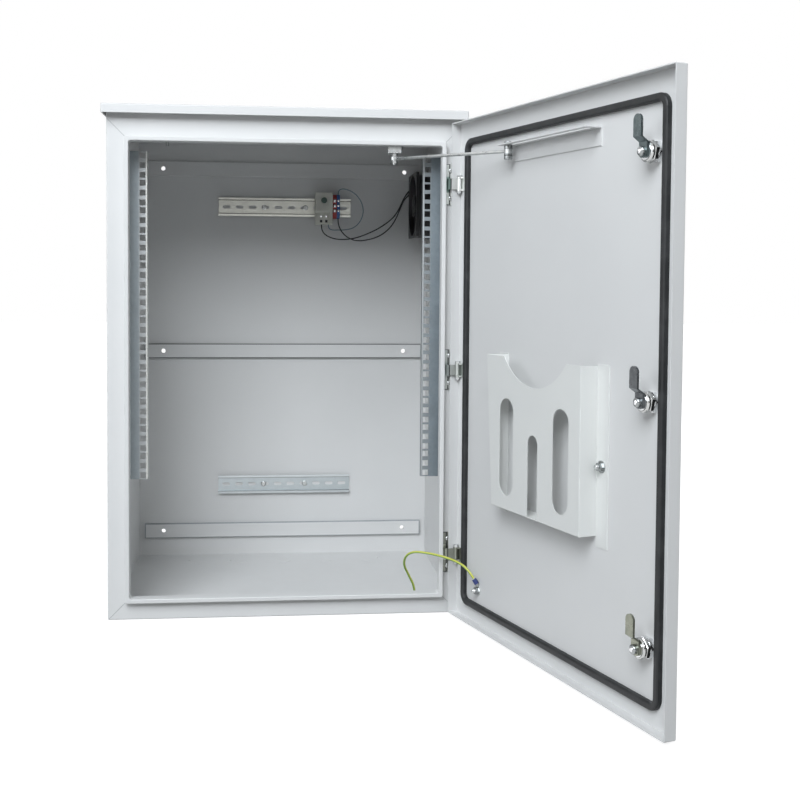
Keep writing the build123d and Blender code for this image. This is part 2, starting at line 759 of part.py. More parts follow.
# Door: a pan with folded sides, lock holes and weld studs
lock_heights = hinge_heights
pocket_stud_insets = (pocket_left - pocket_stud_inset, pocket_right + pocket_stud_inset)
with BuildPart() as door_panel:
    with BuildSketch(door_plane(0)):
        with Locations((0, door_middle_z)):
            Rectangle(door_width, door_height)
    extrude(amount=-door_depth)
    front_face = door_panel.faces().sort_by(Axis.Y)[0]
    fillet(front_face.edges() + door_panel.edges().filter_by(Axis.Y), fold_radius)
    with BuildSketch(door_plane(sheet)):
        with Locations((0, door_middle_z)):
            Rectangle(door_width - 2 * sheet, door_height - 2 * sheet)
    extrude(amount=-(door_depth - sheet), mode=Mode.SUBTRACT)
    with BuildSketch(door_plane(0)):
        with Locations([(lock_x, z) for z in lock_heights]):
            Circle(lock_barrel / 2 + small_clearance)
    extrude(amount=-sheet, mode=Mode.SUBTRACT)
    with BuildSketch(door_plane(sheet)):
        with Locations([(door_x(inset), pocket_stud_z) for inset in pocket_stud_insets]):
            Circle(door_stud / 2)
        with Locations((door_x(earth_door_inset), earth_door_z)):
            Circle(door_stud / 2)
    extrude(amount=-door_stud_length)
save("door_panel", swung(door_panel.part))

# Gasket: one closed loop with a rounded top
with BuildPart() as door_gasket:
    with BuildSketch(door_plane(sheet)):
        with Locations((0, (gasket_bottom_z + gasket_top_z) / 2)):
            RectangleRounded(2 * gasket_side, gasket_top_z - gasket_bottom_z, gasket_corner)
            RectangleRounded(
                2 * (gasket_side - gasket_width),
                gasket_top_z - gasket_bottom_z - 2 * gasket_width,
                gasket_corner - gasket_width,
                mode=Mode.SUBTRACT,
            )
    extrude(amount=-gasket_height)
    fillet(door_gasket.faces().sort_by(Axis.Y)[-1].edges(), gasket_round)
save("door_gasket", swung(door_gasket.part))

# Hinges
leg_x = lip_outer_width / 2 + hinge_leg_gap
knuckle_radius = hinge_knuckle / 2
ear_bottom = hinge_arm_height / 2 + hinge_play
ear_top = ear_bottom + bracket_ear
for hinge_name, hinge_z in zip(hinge_names, hinge_heights):
    with BuildPart() as hinge_leaf:
        with BuildSketch(from_front(0)):
            with Locations((plate_middle_x, hinge_z)):
                Rectangle(hinge_plate_width, hinge_plate_height)
                with GridLocations(hinge_plate_width, hinge_screw_spacing, 1, 2):
                    Circle(hinge_screw / 2 + small_clearance, mode=Mode.SUBTRACT)
        extrude(amount=hinge_sheet)
        with BuildSketch(Plane.XY.offset(hinge_z - hinge_arm_height / 2)):
            with BuildLine():
                Polyline(
                    (leg_x, front_y - hinge_sheet / 2),
                    (leg_x, hinge_y - hinge_drop - hinge_sheet / 2),
                    (hinge_x, hinge_y - hinge_sheet / 2),
                    (hinge_x, hinge_y + hinge_sheet / 2),
                    (leg_x + hinge_sheet, hinge_y - hinge_drop + hinge_sheet / 2),
                    (leg_x + hinge_sheet, front_y - hinge_sheet / 2),
                    close=True,
                )
            make_face()
            with Locations((hinge_x, hinge_y)):
                Circle(knuckle_radius)
                Circle(hinge_pin / 2 + hinge_fit, mode=Mode.SUBTRACT)
        extrude(amount=hinge_arm_height)
    save("hinge_leaf_" + hinge_name, hinge_leaf.part)

    with BuildPart() as hinge_bracket:
        with BuildSketch(door_plane(sheet)):
            with Locations((hinge_x + knuckle_radius - bracket_width / 2, hinge_z)):
                Rectangle(bracket_width, 2 * ear_top)
        extrude(amount=-bracket_sheet)
        for ear_z in (hinge_z + ear_bottom, hinge_z - ear_top):
            with BuildSketch(Plane.XY.offset(ear_z)):
                with Locations((hinge_x, hinge_y)):
                    Circle(knuckle_radius + bracket_sheet)
                with BuildLine():
                    Polyline(
                        (hinge_x - bracket_width / 2, door_inner_y),
                        (hinge_x + knuckle_radius + bracket_sheet, door_inner_y),
                        (hinge_x + knuckle_radius + bracket_sheet, hinge_y),
                        (hinge_x - knuckle_radius - bracket_sheet, hinge_y),
                        close=True,
                    )
                make_face()
                with Locations((hinge_x, hinge_y)):
                    Circle(hinge_pin / 2 + hinge_fit, mode=Mode.SUBTRACT)
            extrude(amount=bracket_ear)
    save("hinge_bracket_" + hinge_name, swung(hinge_bracket.part))

with BuildPart() as hinge_screws:
    with BuildSketch(from_front(-hinge_sheet)):
        for height in hinge_heights:
            with Locations((plate_middle_x, height)):
                with GridLocations(hinge_plate_width, hinge_screw_spacing, 1, 2):
                    Circle(hinge_screw_head / 2)
    extrude(amount=hinge_screw_head_height)
    fillet(hinge_screws.edges().group_by(Axis.Y)[0], hinge_screw_head_height * head_round_share)
    with BuildSketch(from_front(-hinge_sheet)):
        for height in hinge_heights:
            with Locations((plate_middle_x, height)):
                with GridLocations(hinge_plate_width, hinge_screw_spacing, 1, 2):
                    Circle(hinge_screw / 2)
    extrude(amount=-hinge_screw_reach)
save("hinge_screws", hinge_screws.part)

with BuildPart() as hinge_pins:
    for height in hinge_heights:
        with BuildSketch(Plane.XY.offset(height + ear_top)):
            with Locations((hinge_x, hinge_y)):
                hexagon(pin_head_flats)
        extrude(amount=pin_head_height)
        with BuildSketch(Plane.XY.offset(height + ear_top)):
            with Locations((hinge_x, hinge_y)):
                Circle(hinge_pin / 2)
        extrude(amount=-(2 * ear_top + pin_head_height + hinge_sheet))
save("hinge_pins", swung(hinge_pins.part))

with BuildPart() as hinge_pin_nuts:
    for height in hinge_heights:
        with BuildSketch(Plane.XY.offset(height - ear_top)):
            with Locations((hinge_x, hinge_y)):
                hexagon(pin_head_flats)
                Circle(hinge_pin / 2 + hinge_fit, mode=Mode.SUBTRACT)
        extrude(amount=-pin_head_height)
save("hinge_pin_nuts", swung(hinge_pin_nuts.part))

# Cam locks: barrel through the door, turning plug with a key well, cranked cam and screw
for lock_name, lock_z in zip(hinge_names, lock_heights):
    with BuildPart() as lock_body:
        with BuildSketch(door_plane(0)):
            with Locations((lock_x, lock_z)):
                Circle(lock_flange / 2)
        extrude(amount=lock_flange_height)
        fillet(lock_body.edges().group_by(Axis.Y)[0], lock_flange_height / 2)
        with BuildSketch(door_plane(0)):
            with Locations((lock_x, lock_z)):
                Circle(lock_barrel / 2)
        extrude(amount=-lock_thread)
        with BuildSketch(door_plane(lock_thread)):
            with Locations((lock_x, lock_z)):
                Circle(lock_neck / 2)
        extrude(amount=-(lock_length - lock_thread))
        with BuildSketch(door_plane(-lock_flange_height)):
            with Locations((lock_x, lock_z)):
                Circle(plug_diameter / 2 + plug_play)
        extrude(amount=-(lock_flange_height + lock_length), mode=Mode.SUBTRACT)
    save("lock_body_" + lock_name, swung(lock_body.part))

    with BuildPart() as lock_plug:
        with BuildSketch(door_plane(plug_play - lock_flange_height)):
            with Locations((lock_x, lock_z)):
                Circle(plug_diameter / 2)
        extrude(amount=-(lock_length + lock_flange_height))
        with BuildSketch(door_plane(lock_length + plug_play)):
            with Locations((lock_x, lock_z)):
                Rectangle(plug_square, plug_square)
        extrude(amount=-cam_sheet)
        with BuildSketch(door_plane(plug_play - lock_flange_height)):
            with Locations((lock_x, lock_z)):
                Circle(key_well / 2)
                Circle(key_pin / 2, mode=Mode.SUBTRACT)
                Rectangle(key_wing, key_wing_width, mode=Mode.SUBTRACT)
        extrude(amount=-key_depth, mode=Mode.SUBTRACT)
        with BuildSketch(door_plane(lock_length + plug_play + cam_sheet)):
            with Locations((lock_x, lock_z)):
                Circle(cam_screw / 2 + small_clearance)
        extrude(amount=cam_screw_reach + stud_clearance, mode=Mode.SUBTRACT)
    save("lock_plug_" + lock_name, swung(lock_plug.part))

    cam_y = door_outer_y + lock_length + plug_play
    with BuildPart() as lock_cam:
        with BuildSketch(Plane.YZ.offset(lock_x - cam_width / 2)):
            with BuildLine():
                Polyline(
                    (cam_y, lock_z - cam_width / 2),
                    (cam_y + cam_sheet, lock_z - cam_width / 2),
                    (cam_y + cam_sheet, lock_z + cam_crank_start),
                    (cam_y + cam_sheet + cam_crank, lock_z + cam_crank_start + cam_crank_run),
                    (cam_y + cam_sheet + cam_crank, lock_z + cam_reach),
                    (cam_y + cam_crank, lock_z + cam_reach),
                    (cam_y + cam_crank, lock_z + cam_crank_start + cam_crank_run),
                    (cam_y, lock_z + cam_crank_start),
                    close=True,
                )
            make_face()
        extrude(amount=cam_width)
        tip_edges = lock_cam.faces().sort_by(Axis.Z)[-1].edges().filter_by(Axis.Y)
        fillet(tip_edges, cam_width / 2 - small_clearance)
        fillet(lock_cam.faces().sort_by(Axis.Z)[0].edges().filter_by(Axis.Y), cam_width / 3)
        with BuildSketch(Plane.XZ.offset(-cam_y)):
            with Locations((lock_x, lock_z)):
                Rectangle(plug_square + small_clearance, plug_square + small_clearance)
        extrude(amount=-cam_sheet, mode=Mode.SUBTRACT)
    save("lock_cam_" + lock_name, swung(lock_cam.part))

    with BuildPart() as cam_screw_piece:
        with BuildSketch(door_plane(lock_length + plug_play + cam_sheet)):
            with Locations((lock_x, lock_z)):
                Circle(cam_screw_head / 2)
        extrude(amount=-cam_screw_head_height)
        fillet(cam_screw_piece.edges().group_by(Axis.Y)[-1], cam_screw_head_height / 2)
        with BuildSketch(door_plane(lock_length + plug_play + cam_sheet)):
            with Locations((lock_x, lock_z)):
                Circle(cam_screw / 2)
        extrude(amount=cam_screw_reach)
    save("lock_screw_" + lock_name, swung(cam_screw_piece.part))

with BuildPart() as lock_nuts:
    with BuildSketch(door_plane(sheet)):
        with Locations([(lock_x, z) for z in lock_heights]):
            hexagon(lock_nut_flats)
            Circle(lock_barrel / 2 + small_clearance, mode=Mode.SUBTRACT)
    extrude(amount=-lock_nut_height)
save("lock_nuts", swung(lock_nuts.part))

# Door stay: folded bracket under the lip with its pivot bolt
stay_plane_z = opening_top_z - stay_bracket_height
with BuildPart() as stay_bracket:
    with BuildSketch(Plane.YZ.offset(stay_x - stay_bracket_width / 2)):
        with BuildLine():
            Polyline(
                (front_y + stay_bracket_front, opening_top_z),
                (front_y + stay_bracket_front, stay_plane_z),
                (front_y + stay_bracket_front + stay_bracket_depth, stay_plane_z),
                (front_y + stay_bracket_front + stay_bracket_depth, stay_plane_z + stay_sheet),
                (front_y + stay_bracket_front + stay_sheet, stay_plane_z + stay_sheet),
                (front_y + stay_bracket_front + stay_sheet, opening_top_z - stay_sheet),
                (front_y + stay_bracket_front + stay_bracket_depth, opening_top_z - stay_sheet),
                (front_y + stay_bracket_front + stay_bracket_depth, opening_top_z),
                close=True,
            )
        make_face()
    extrude(amount=stay_bracket_width)
    fillet(stay_bracket.faces().sort_by(Axis.Y)[0].edges().filter_by(Axis.X), stay_sheet / 2)
    with BuildSketch(Plane.XY.offset(stay_plane_z)):
        with Locations((stay_x, stay_y)):
            Circle(stay_bolt / 2 + small_clearance)
    extrude(amount=stay_sheet, mode=Mode.SUBTRACT)
save("stay_bracket", stay_bracket.part)

stay_eye_top_z = stay_plane_z - stay_spacer_height - stay_play
stay_eye_bottom_z = stay_eye_top_z - stay_eye_height
stay_bolt_end_z = stay_eye_bottom_z - stay_play - stay_nut_height - stay_sheet
with BuildPart() as stay_bolt_piece:
    with BuildSketch(Plane.XY.offset(stay_plane_z + stay_sheet)):
        with Locations((stay_x, stay_y)):
            hexagon(nut_flats)
    extrude(amount=stay_sheet)
    with BuildSketch(Plane.XY.offset(stay_plane_z + stay_sheet)):
        with Locations((stay_x, stay_y)):
            Circle(stay_bolt / 2)
    extrude(amount=stay_bolt_end_z - stay_plane_z - stay_sheet)
save("stay_bolt", stay_bolt_piece.part)

with BuildPart() as stay_nuts:
    with BuildSketch(Plane.XY.offset(stay_plane_z - stay_spacer_height)):
        with Locations((stay_x, stay_y)):
            hexagon(nut_flats)
            Circle(stay_bolt / 2 + small_clearance, mode=Mode.SUBTRACT)
    extrude(amount=stay_spacer_height)
    with BuildSketch(Plane.XY.offset(stay_eye_bottom_z - stay_play)):
        with Locations((stay_x, stay_y)):
            hexagon(nut_flats)
            Circle(stay_bolt / 2 + small_clearance, mode=Mode.SUBTRACT)
    extrude(amount=-stay_nut_height)
save("stay_nuts", stay_nuts.part)

# Guide on the door with the slot that the slider runs in
guide_left_x = door_x(guide_start + guide_length)
guide_middle_x = guide_left_x + guide_length / 2
with BuildPart() as stay_guide:
    with BuildSketch(Plane.YZ.offset(guide_left_x)):
        with BuildLine():
            Polyline(
                (door_inner_y, guide_top_z),
                (door_inner_y, guide_top_z - guide_drop),
                (door_inner_y + sheet, guide_top_z - guide_drop),
                (door_inner_y + sheet, guide_top_z - sheet),
                (door_outer_y + guide_width, guide_top_z - sheet),
                (door_outer_y + guide_width, guide_top_z),
                close=True,
            )
        make_face()
    extrude(amount=guide_length)
    with BuildSketch(Plane.XY.offset(guide_top_z)):
        with Locations((guide_middle_x, door_outer_y + guide_slot_line)):
            SlotOverall(guide_length - 2 * guide_slot_inset, guide_slot_width)
    extrude(amount=-sheet, mode=Mode.SUBTRACT)
save("stay_guide", swung(stay_guide.part))

# Slider: a headed pin through the slot with a collar below it
slider_inset = guide_start + guide_slot_inset + guide_slot_width / 2 + slider_gap
slider_x = door_x(slider_inset)
slider_y = door_outer_y + guide_slot_line
collar_top_z = guide_top_z - sheet - slider_gap
collar_bottom_z = collar_top_z - slider_collar_height
with BuildPart() as stay_slider:
    with BuildSketch(Plane.XY.offset(guide_top_z + slider_gap)):
        with Locations((slider_x, slider_y)):
            Circle(slider_head / 2)
    extrude(amount=slider_head_height)
    fillet(stay_slider.edges().group_by(Axis.Z)[-1], slider_head_height / 3)
    with BuildSketch(Plane.XY.offset(collar_bottom_z)):
        with Locations((slider_x, slider_y)):
            Circle(slider_head / 2)
    extrude(amount=slider_collar_height)
    with BuildSketch(Plane.XY.offset(collar_bottom_z)):
        with Locations((slider_x, slider_y)):
            Circle(slider_bolt / 2)
    extrude(amount=guide_top_z + slider_gap - collar_bottom_z)
save("stay_slider", swung(stay_slider.part))

# Rod from the pivot bolt to the slider, with an eye at each end
slider_offset = Vector(slider_x - hinge_x, slider_y - hinge_y, 0).rotate(Axis.Z, door_open)
rod_far_top_z = collar_bottom_z - slider_gap
rod_far_z = rod_far_top_z - stay_eye_height / 2
rod_near_z = stay_eye_bottom_z + stay_eye_height / 2
rod_near = Vector(stay_x, stay_y, rod_near_z)
rod_far = Vector(hinge_x + slider_offset.X, hinge_y + slider_offset.Y, rod_far_z)
with BuildPart() as stay_rod_piece:
    with BuildSketch(Plane(rod_near, z_dir=rod_far - rod_near)):
        Circle(stay_rod / 2)
    extrude(amount=(rod_far - rod_near).length)
    with BuildSketch(Plane.XY.offset(stay_eye_bottom_z)):
        with Locations((rod_near.X, rod_near.Y)):
            Circle(stay_eye / 2)
    extrude(amount=stay_eye_height)
    with BuildSketch(Plane.XY.offset(rod_far_top_z)):
        with Locations((rod_far.X, rod_far.Y)):
            Circle(stay_eye / 2)
    extrude(amount=-stay_eye_height)
    with BuildSketch(Plane.XY.offset(rod_near_z - stay_eye_height)):
        with Locations((rod_near.X, rod_near.Y)):
            Circle(stay_bolt / 2 + plug_play)
    extrude(amount=2 * stay_eye_height, mode=Mode.SUBTRACT)
    with BuildSketch(Plane.XY.offset(rod_far_top_z - stay_eye_height)):
        with Locations((rod_far.X, rod_far.Y)):
            Circle(stay_bolt / 2)
    extrude(amount=-stay_stub)
save("stay_rod", stay_rod_piece.part)

with BuildPart() as stay_end_nut:
    with BuildSketch(Plane.XY.offset(rod_far_top_z - stay_eye_height)):
        with Locations((rod_far.X, rod_far.Y)):
            Circle(stay_eye / 2)
            Circle(stay_bolt / 2 + small_clearance, mode=Mode.SUBTRACT)
    extrude(amount=-stay_stub)
    fillet(stay_end_nut.edges().group_by(Axis.Z)[0].sort_by(SortBy.LENGTH)[-1], stay_sheet / 2)
save("stay_end_nut", stay_end_nut.part)


# Document pocket: a folded tray, open at the top, with windows and a thumb cut-out
def pocket_section(wall, height, top):
    # outline at this height above the door's inner face; the left side flares out towards the front top
    rise = (top - pocket_bottom_z) / (pocket_top_z - pocket_bottom_z)
    flare = pocket_flare * rise * height / pocket_depth
    left = door_x(pocket_left + wall)
    right = door_x(pocket_right - wall)
    bottom = pocket_bottom_z + wall
    with BuildSketch(door_plane(sheet + height)) as section:
        with BuildLine():
            Polyline((left, bottom), (right, bottom), (right, top), (left + flare, top), close=True)
        make_face()
    return section.sketch


pocket_front = sheet + pocket_depth
thumb_width = pocket_width * thumb_share
thumb_middle = (pocket_left + pocket_right) / 2
thumb_radius = (thumb_width**2 / 4 + thumb_depth**2) / (2 * thumb_depth)
inner_top_z = pocket_top_z + pocket_sheet
outer_sections = [pocket_section(0, 0, pocket_top_z), pocket_section(0, pocket_depth, pocket_top_z)]
inner_sections = [
    pocket_section(pocket_sheet, 0, inner_top_z),
    pocket_section(pocket_sheet, pocket_depth - pocket_sheet, inner_top_z),
]
with BuildPart() as document_pocket:
    loft(outer_sections)
    front_edges = document_pocket.faces().sort_by(Axis.Y)[-1].edges()
    fillet(front_edges.sort_by(Axis.Z)[:-1], pocket_sheet)
    loft(inner_sections, mode=Mode.SUBTRACT)
    flange_height = pocket_flange_top_z - pocket_flange_bottom_z
    flange_middle_z = (pocket_flange_top_z + pocket_flange_bottom_z) / 2
    with BuildSketch(door_plane(sheet)):
        for inset in (pocket_left - pocket_flange / 2, pocket_right + pocket_flange / 2):
            with Locations((door_x(inset), flange_middle_z)):
                Rectangle(pocket_flange, flange_height)
        for inset in pocket_stud_insets:
            with Locations((door_x(inset), pocket_stud_z)):
                Circle(door_stud / 2 + stud_clearance, mode=Mode.SUBTRACT)
    extrude(amount=-pocket_sheet)
    with BuildSketch(door_plane(pocket_front)):
        with Locations((door_x(thumb_middle), pocket_top_z + thumb_radius - thumb_depth)):
            Circle(thumb_radius)
        window_middle_z = (window_top_z + window_bottom_z) / 2
        window_height = window_top_z - window_bottom_z
        with Locations([(door_x(inset), window_middle_z) for inset in (window_left, window_right)]):
            SlotOverall(window_height, window_width, rotation=90)
        notch_height = notch_top_z - pocket_bottom_z
        with Locations((door_x(notch_middle), pocket_bottom_z)):
            SlotOverall(2 * notch_height, notch_width, rotation=90)
    extrude(amount=pocket_sheet, both=True, mode=Mode.SUBTRACT)
save("document_pocket", swung(document_pocket.part))

with BuildPart() as door_nuts:
    with BuildSketch(door_plane(sheet + pocket_sheet)):
        with Locations([(door_x(inset), pocket_stud_z) for inset in pocket_stud_insets]):
            Circle(door_washer / 2)
            Circle(door_stud / 2 + small_clearance, mode=Mode.SUBTRACT)
    extrude(amount=-door_washer_height)
    with BuildSketch(door_plane(sheet + pocket_sheet)):
        with Locations([(door_x(inset), pocket_stud_z) for inset in pocket_stud_insets]):
            hexagon(nut_flats)
            Circle(door_stud / 2 + small_clearance, mode=Mode.SUBTRACT)
    extrude(amount=-(door_washer_height + door_nut_height))
    with BuildSketch(door_plane(sheet + ring_sheet)):
        with Locations((door_x(earth_door_inset), earth_door_z)):
            hexagon(nut_flats)
            Circle(door_stud / 2 + small_clearance, mode=Mode.SUBTRACT)
    extrude(amount=-door_nut_height)
save("door_nuts", swung(door_nuts.part))


def near_rail(points):
    # points measured from the right wall, the back wall and the middle of the upper mounting rail
    return [(inner_x + x, back_inner_y + y, hat_upper_z + z) for x, y, z in points]


# Leads, each a list of hand-picked points in the open rest position, the earth lead's from the
# front right corner of the base
earth_points = [
    (-67.5, 39.0, 15.0),
    (-67.5, 39.0, 32.0),
    (-78.0, 34.0, 53.0),
    (-88.5, 24.0, 74.0),
    (-86.0, 12.0, 92.0),
    (-75.0, 1.5, 100.5),
    (-56.0, -9.5, 101.0),
    (-33.0, -27.0, 99.5),
    (-12.0, -52.0, 96.5),
    (1.5, -72.7, 90.1),
    (9.9, -77.1, 76.0),
]
fan_lead_a_points = [
    (-208.9, -32.5, -33.5),
    (-208.9, -32.5, -42.5),
    (-203.5, -30.5, -51.5),
    (-192.5, -27.5, -58.0),
    (-175.5, -23.5, -62.0),
    (-147.5, -19.5, -60.2),
    (-119.8, -16.5, -50.4),
    (-91.9, -13.5, -36.6),
    (-66.7, -10.5, -17.3),
    (-55.3, -8.0, 1.8),
    (-47.0, -6.0, 20.9),
    (-39.0, -4.5, 32.5),
    (-32.0, -4.5, 40.5),
    (-32.0, -11.5, 40.5),
]
fan_lead_b_points = [
    (-177.0, -33.5, -21.5),
    (-177.0, -33.5, -31.5),
    (-173.0, -35.0, -42.5),
    (-166.5, -34.5, -51.5),
    (-156.8, -32.0, -59.0),
    (-142.5, -26.5, -64.0),
    (-122.9, -21.5, -62.9),
    (-97.7, -19.5, -55.6),
    (-78.1, -17.5, -41.8),
    (-64.0, -15.0, -22.7),
    (-55.3, -12.5, -0.9),
    (-47.5, -10.0, 16.5),
    (-40.0, -5.5, 24.5),
    (-32.0, -4.5, 30.0),
    (-32.0, -11.5, 30.0),
]
jumper_points = [
    (-177.0, -33.5, 23.5),
    (-177.0, -33.5, 31.0),
    (-171.0, -36.5, 35.0),
    (-162.0, -40.0, 34.0),
    (-149.9, -42.0, 29.0),
    (-138.9, -41.5, 19.9),
    (-130.0, -39.5, 4.3),
    (-128.5, -36.5, -11.4),
    (-133.9, -33.5, -27.3),
    (-146.0, -30.5, -39.3),
    (-162.4, -28.5, -43.4),
    (-177.5, -28.0, -43.5),
    (-188.5, -29.5, -44.0),
    (-195.5, -31.5, -40.5),
    (-195.5, -31.5, -33.5),
]
earth_route = [(right_x + x, front_y + y, z) for x, y, z in earth_points]
fan_lead_a_route = near_rail(fan_lead_a_points)
fan_lead_b_route = near_rail(fan_lead_b_points)
jumper_route = near_rail(jumper_points)
leads = (
    ("earth_lead", earth_route, earth_lead_diameter),
    ("fan_lead_a", fan_lead_a_route, fan_lead_diameter),
    ("fan_lead_b", fan_lead_b_route, fan_lead_diameter),
    ("jumper_lead", jumper_route, jumper_diameter),
)


def corner_radii(points):
    # each arc is as large as its two runs allow
    radii = []
    for before, corner, after in zip(points, points[1:], points[2:]):
        arriving = Vector(*corner) - Vector(*before)
        leaving = Vector(*after) - Vector(*corner)
        shorter = min(arriving.length, leaving.length)
        radii.append(lead_bend_share * shorter / tan(radians(arriving.get_angle(leaving) / 2)))
    return radii


for lead_name, route, lead_diameter in leads:
    radii = corner_radii(route)
    with BuildPart() as lead:
        with BuildLine() as lead_path:
            FilletPolyline(*route, radius=radii)
        with BuildSketch(Plane(route[0], z_dir=Vector(*route[1]) - Vector(*route[0]))) as lead_section:
            Circle(lead_diameter / 2)
        sweep()
    lead_length = lead_path.wires()[0].length
    filled = lead.part.volume / lead_section.sketch.area / lead_length
    print(lead_name, "length", round(lead_length, 1), "radii", [round(radius, 1) for radius in radii])
    print("  volume over section times length", round(filled, 4))
    save(lead_name, lead.part)

# Ring terminals under the earth nuts, each with a barrel that takes the lead
with BuildPart() as floor_earth_ring:
    with BuildSketch(Plane.XY.offset(sheet)):
        with Locations((earth_floor_x, front_y + earth_floor_from_front)):
            Circle(ring_diameter / 2)
            with Locations((0, -ring_reach / 2)):
                Rectangle(ring_neck, ring_reach)
            Circle(earth_stud / 2 + small_clearance, mode=Mode.SUBTRACT)
    extrude(amount=ring_sheet)
    with BuildSketch(Plane.XY.offset(sheet)):
        with Locations((earth_floor_x, front_y + earth_floor_from_front - ring_reach)):
            Circle(barrel_diameter / 2)
    extrude(amount=earth_route[0][2] - sheet)
save("floor_earth_ring", floor_earth_ring.part)

with BuildPart() as floor_earth_nut:
    with BuildSketch(Plane.XY.offset(sheet + ring_sheet)):
        with Locations((earth_floor_x, front_y + earth_floor_from_front)):
            hexagon(nut_flats)
            Circle(earth_stud / 2 + small_clearance, mode=Mode.SUBTRACT)
    extrude(amount=nut_height)
save("floor_earth_nut", floor_earth_nut.part)

with BuildPart() as flat_ring:
    with BuildSketch(door_plane(sheet)):
        with Locations((door_x(earth_door_inset), earth_door_z)):
            Circle(ring_diameter / 2)
            with Locations((0, door_ring_reach / 2)):
                Rectangle(ring_neck, door_ring_reach)
            Circle(door_stud / 2 + small_clearance, mode=Mode.SUBTRACT)
    extrude(amount=-ring_sheet)
lead_end = Vector(*earth_route[-1])
barrel_direction = lead_end - Vector(*earth_route[-2])
with BuildPart() as door_earth_ring:
    add(swung(flat_ring.part))
    with BuildSketch(Plane(lead_end, z_dir=barrel_direction)):
        Circle(barrel_diameter / 2)
    extrude(amount=barrel_length)
save("door_earth_ring", door_earth_ring.part)
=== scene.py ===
import json
import math

import bmesh
import bpy
from mathutils import Matrix, Vector


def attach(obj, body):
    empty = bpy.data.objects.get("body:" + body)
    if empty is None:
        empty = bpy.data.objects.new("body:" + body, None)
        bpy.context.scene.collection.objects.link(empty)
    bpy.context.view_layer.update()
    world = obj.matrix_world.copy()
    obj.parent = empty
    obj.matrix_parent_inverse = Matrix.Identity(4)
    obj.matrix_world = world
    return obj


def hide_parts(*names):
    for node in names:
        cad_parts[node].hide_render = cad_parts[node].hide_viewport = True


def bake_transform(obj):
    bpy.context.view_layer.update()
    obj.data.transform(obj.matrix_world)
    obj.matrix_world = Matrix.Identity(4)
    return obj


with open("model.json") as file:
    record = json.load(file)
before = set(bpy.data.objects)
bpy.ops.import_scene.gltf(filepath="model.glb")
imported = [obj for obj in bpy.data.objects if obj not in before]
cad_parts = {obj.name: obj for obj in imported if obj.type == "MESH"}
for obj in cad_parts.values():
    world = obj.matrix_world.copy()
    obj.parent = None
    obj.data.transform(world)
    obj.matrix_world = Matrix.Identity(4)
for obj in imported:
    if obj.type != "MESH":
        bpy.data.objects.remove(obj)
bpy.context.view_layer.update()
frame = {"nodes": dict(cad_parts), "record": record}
print("frame loaded:", len(frame["nodes"]), "nodes")

white = (1.0, 1.0, 1.0, 1.0)
black = (0.0, 0.0, 0.0, 1.0)
levels = ("bottom", "middle", "top")  # of the locks and the hinges


def rgba(colour):
    return (*colour, 1.0)


# Materials
class Value:
    # a number on its way through a material; arithmetic on it adds Math nodes
    def __init__(self, finish, socket):
        self.finish = finish
        self.socket = socket

    def calculate(self, operation, first, second):
        return self.finish.node("ShaderNodeMath", {"operation": operation}, {0: first, 1: second})

    def __add__(self, other):
        return self.calculate("ADD", self, other)

    def __sub__(self, other):
        return self.calculate("SUBTRACT", self, other)

    def __rsub__(self, other):
        return self.calculate("SUBTRACT", other, self)

    def __mul__(self, other):
        return self.calculate("MULTIPLY", self, other)

    def __gt__(self, other):
        return self.calculate("GREATER_THAN", self, other)

    def __lt__(self, other):
        return self.calculate("LESS_THAN", self, other)

    def __abs__(self):
        return self.calculate("ABSOLUTE", self, 0.0)

    def __mod__(self, other):
        return self.calculate("FLOORED_MODULO", self, other)

    __radd__ = __add__
    __rmul__ = __mul__


patchEdges = (0.35, 0.70)  # the part of a noise in which one colour turns into the other
glossEdges = (0.30, 0.70)  # the same for roughness


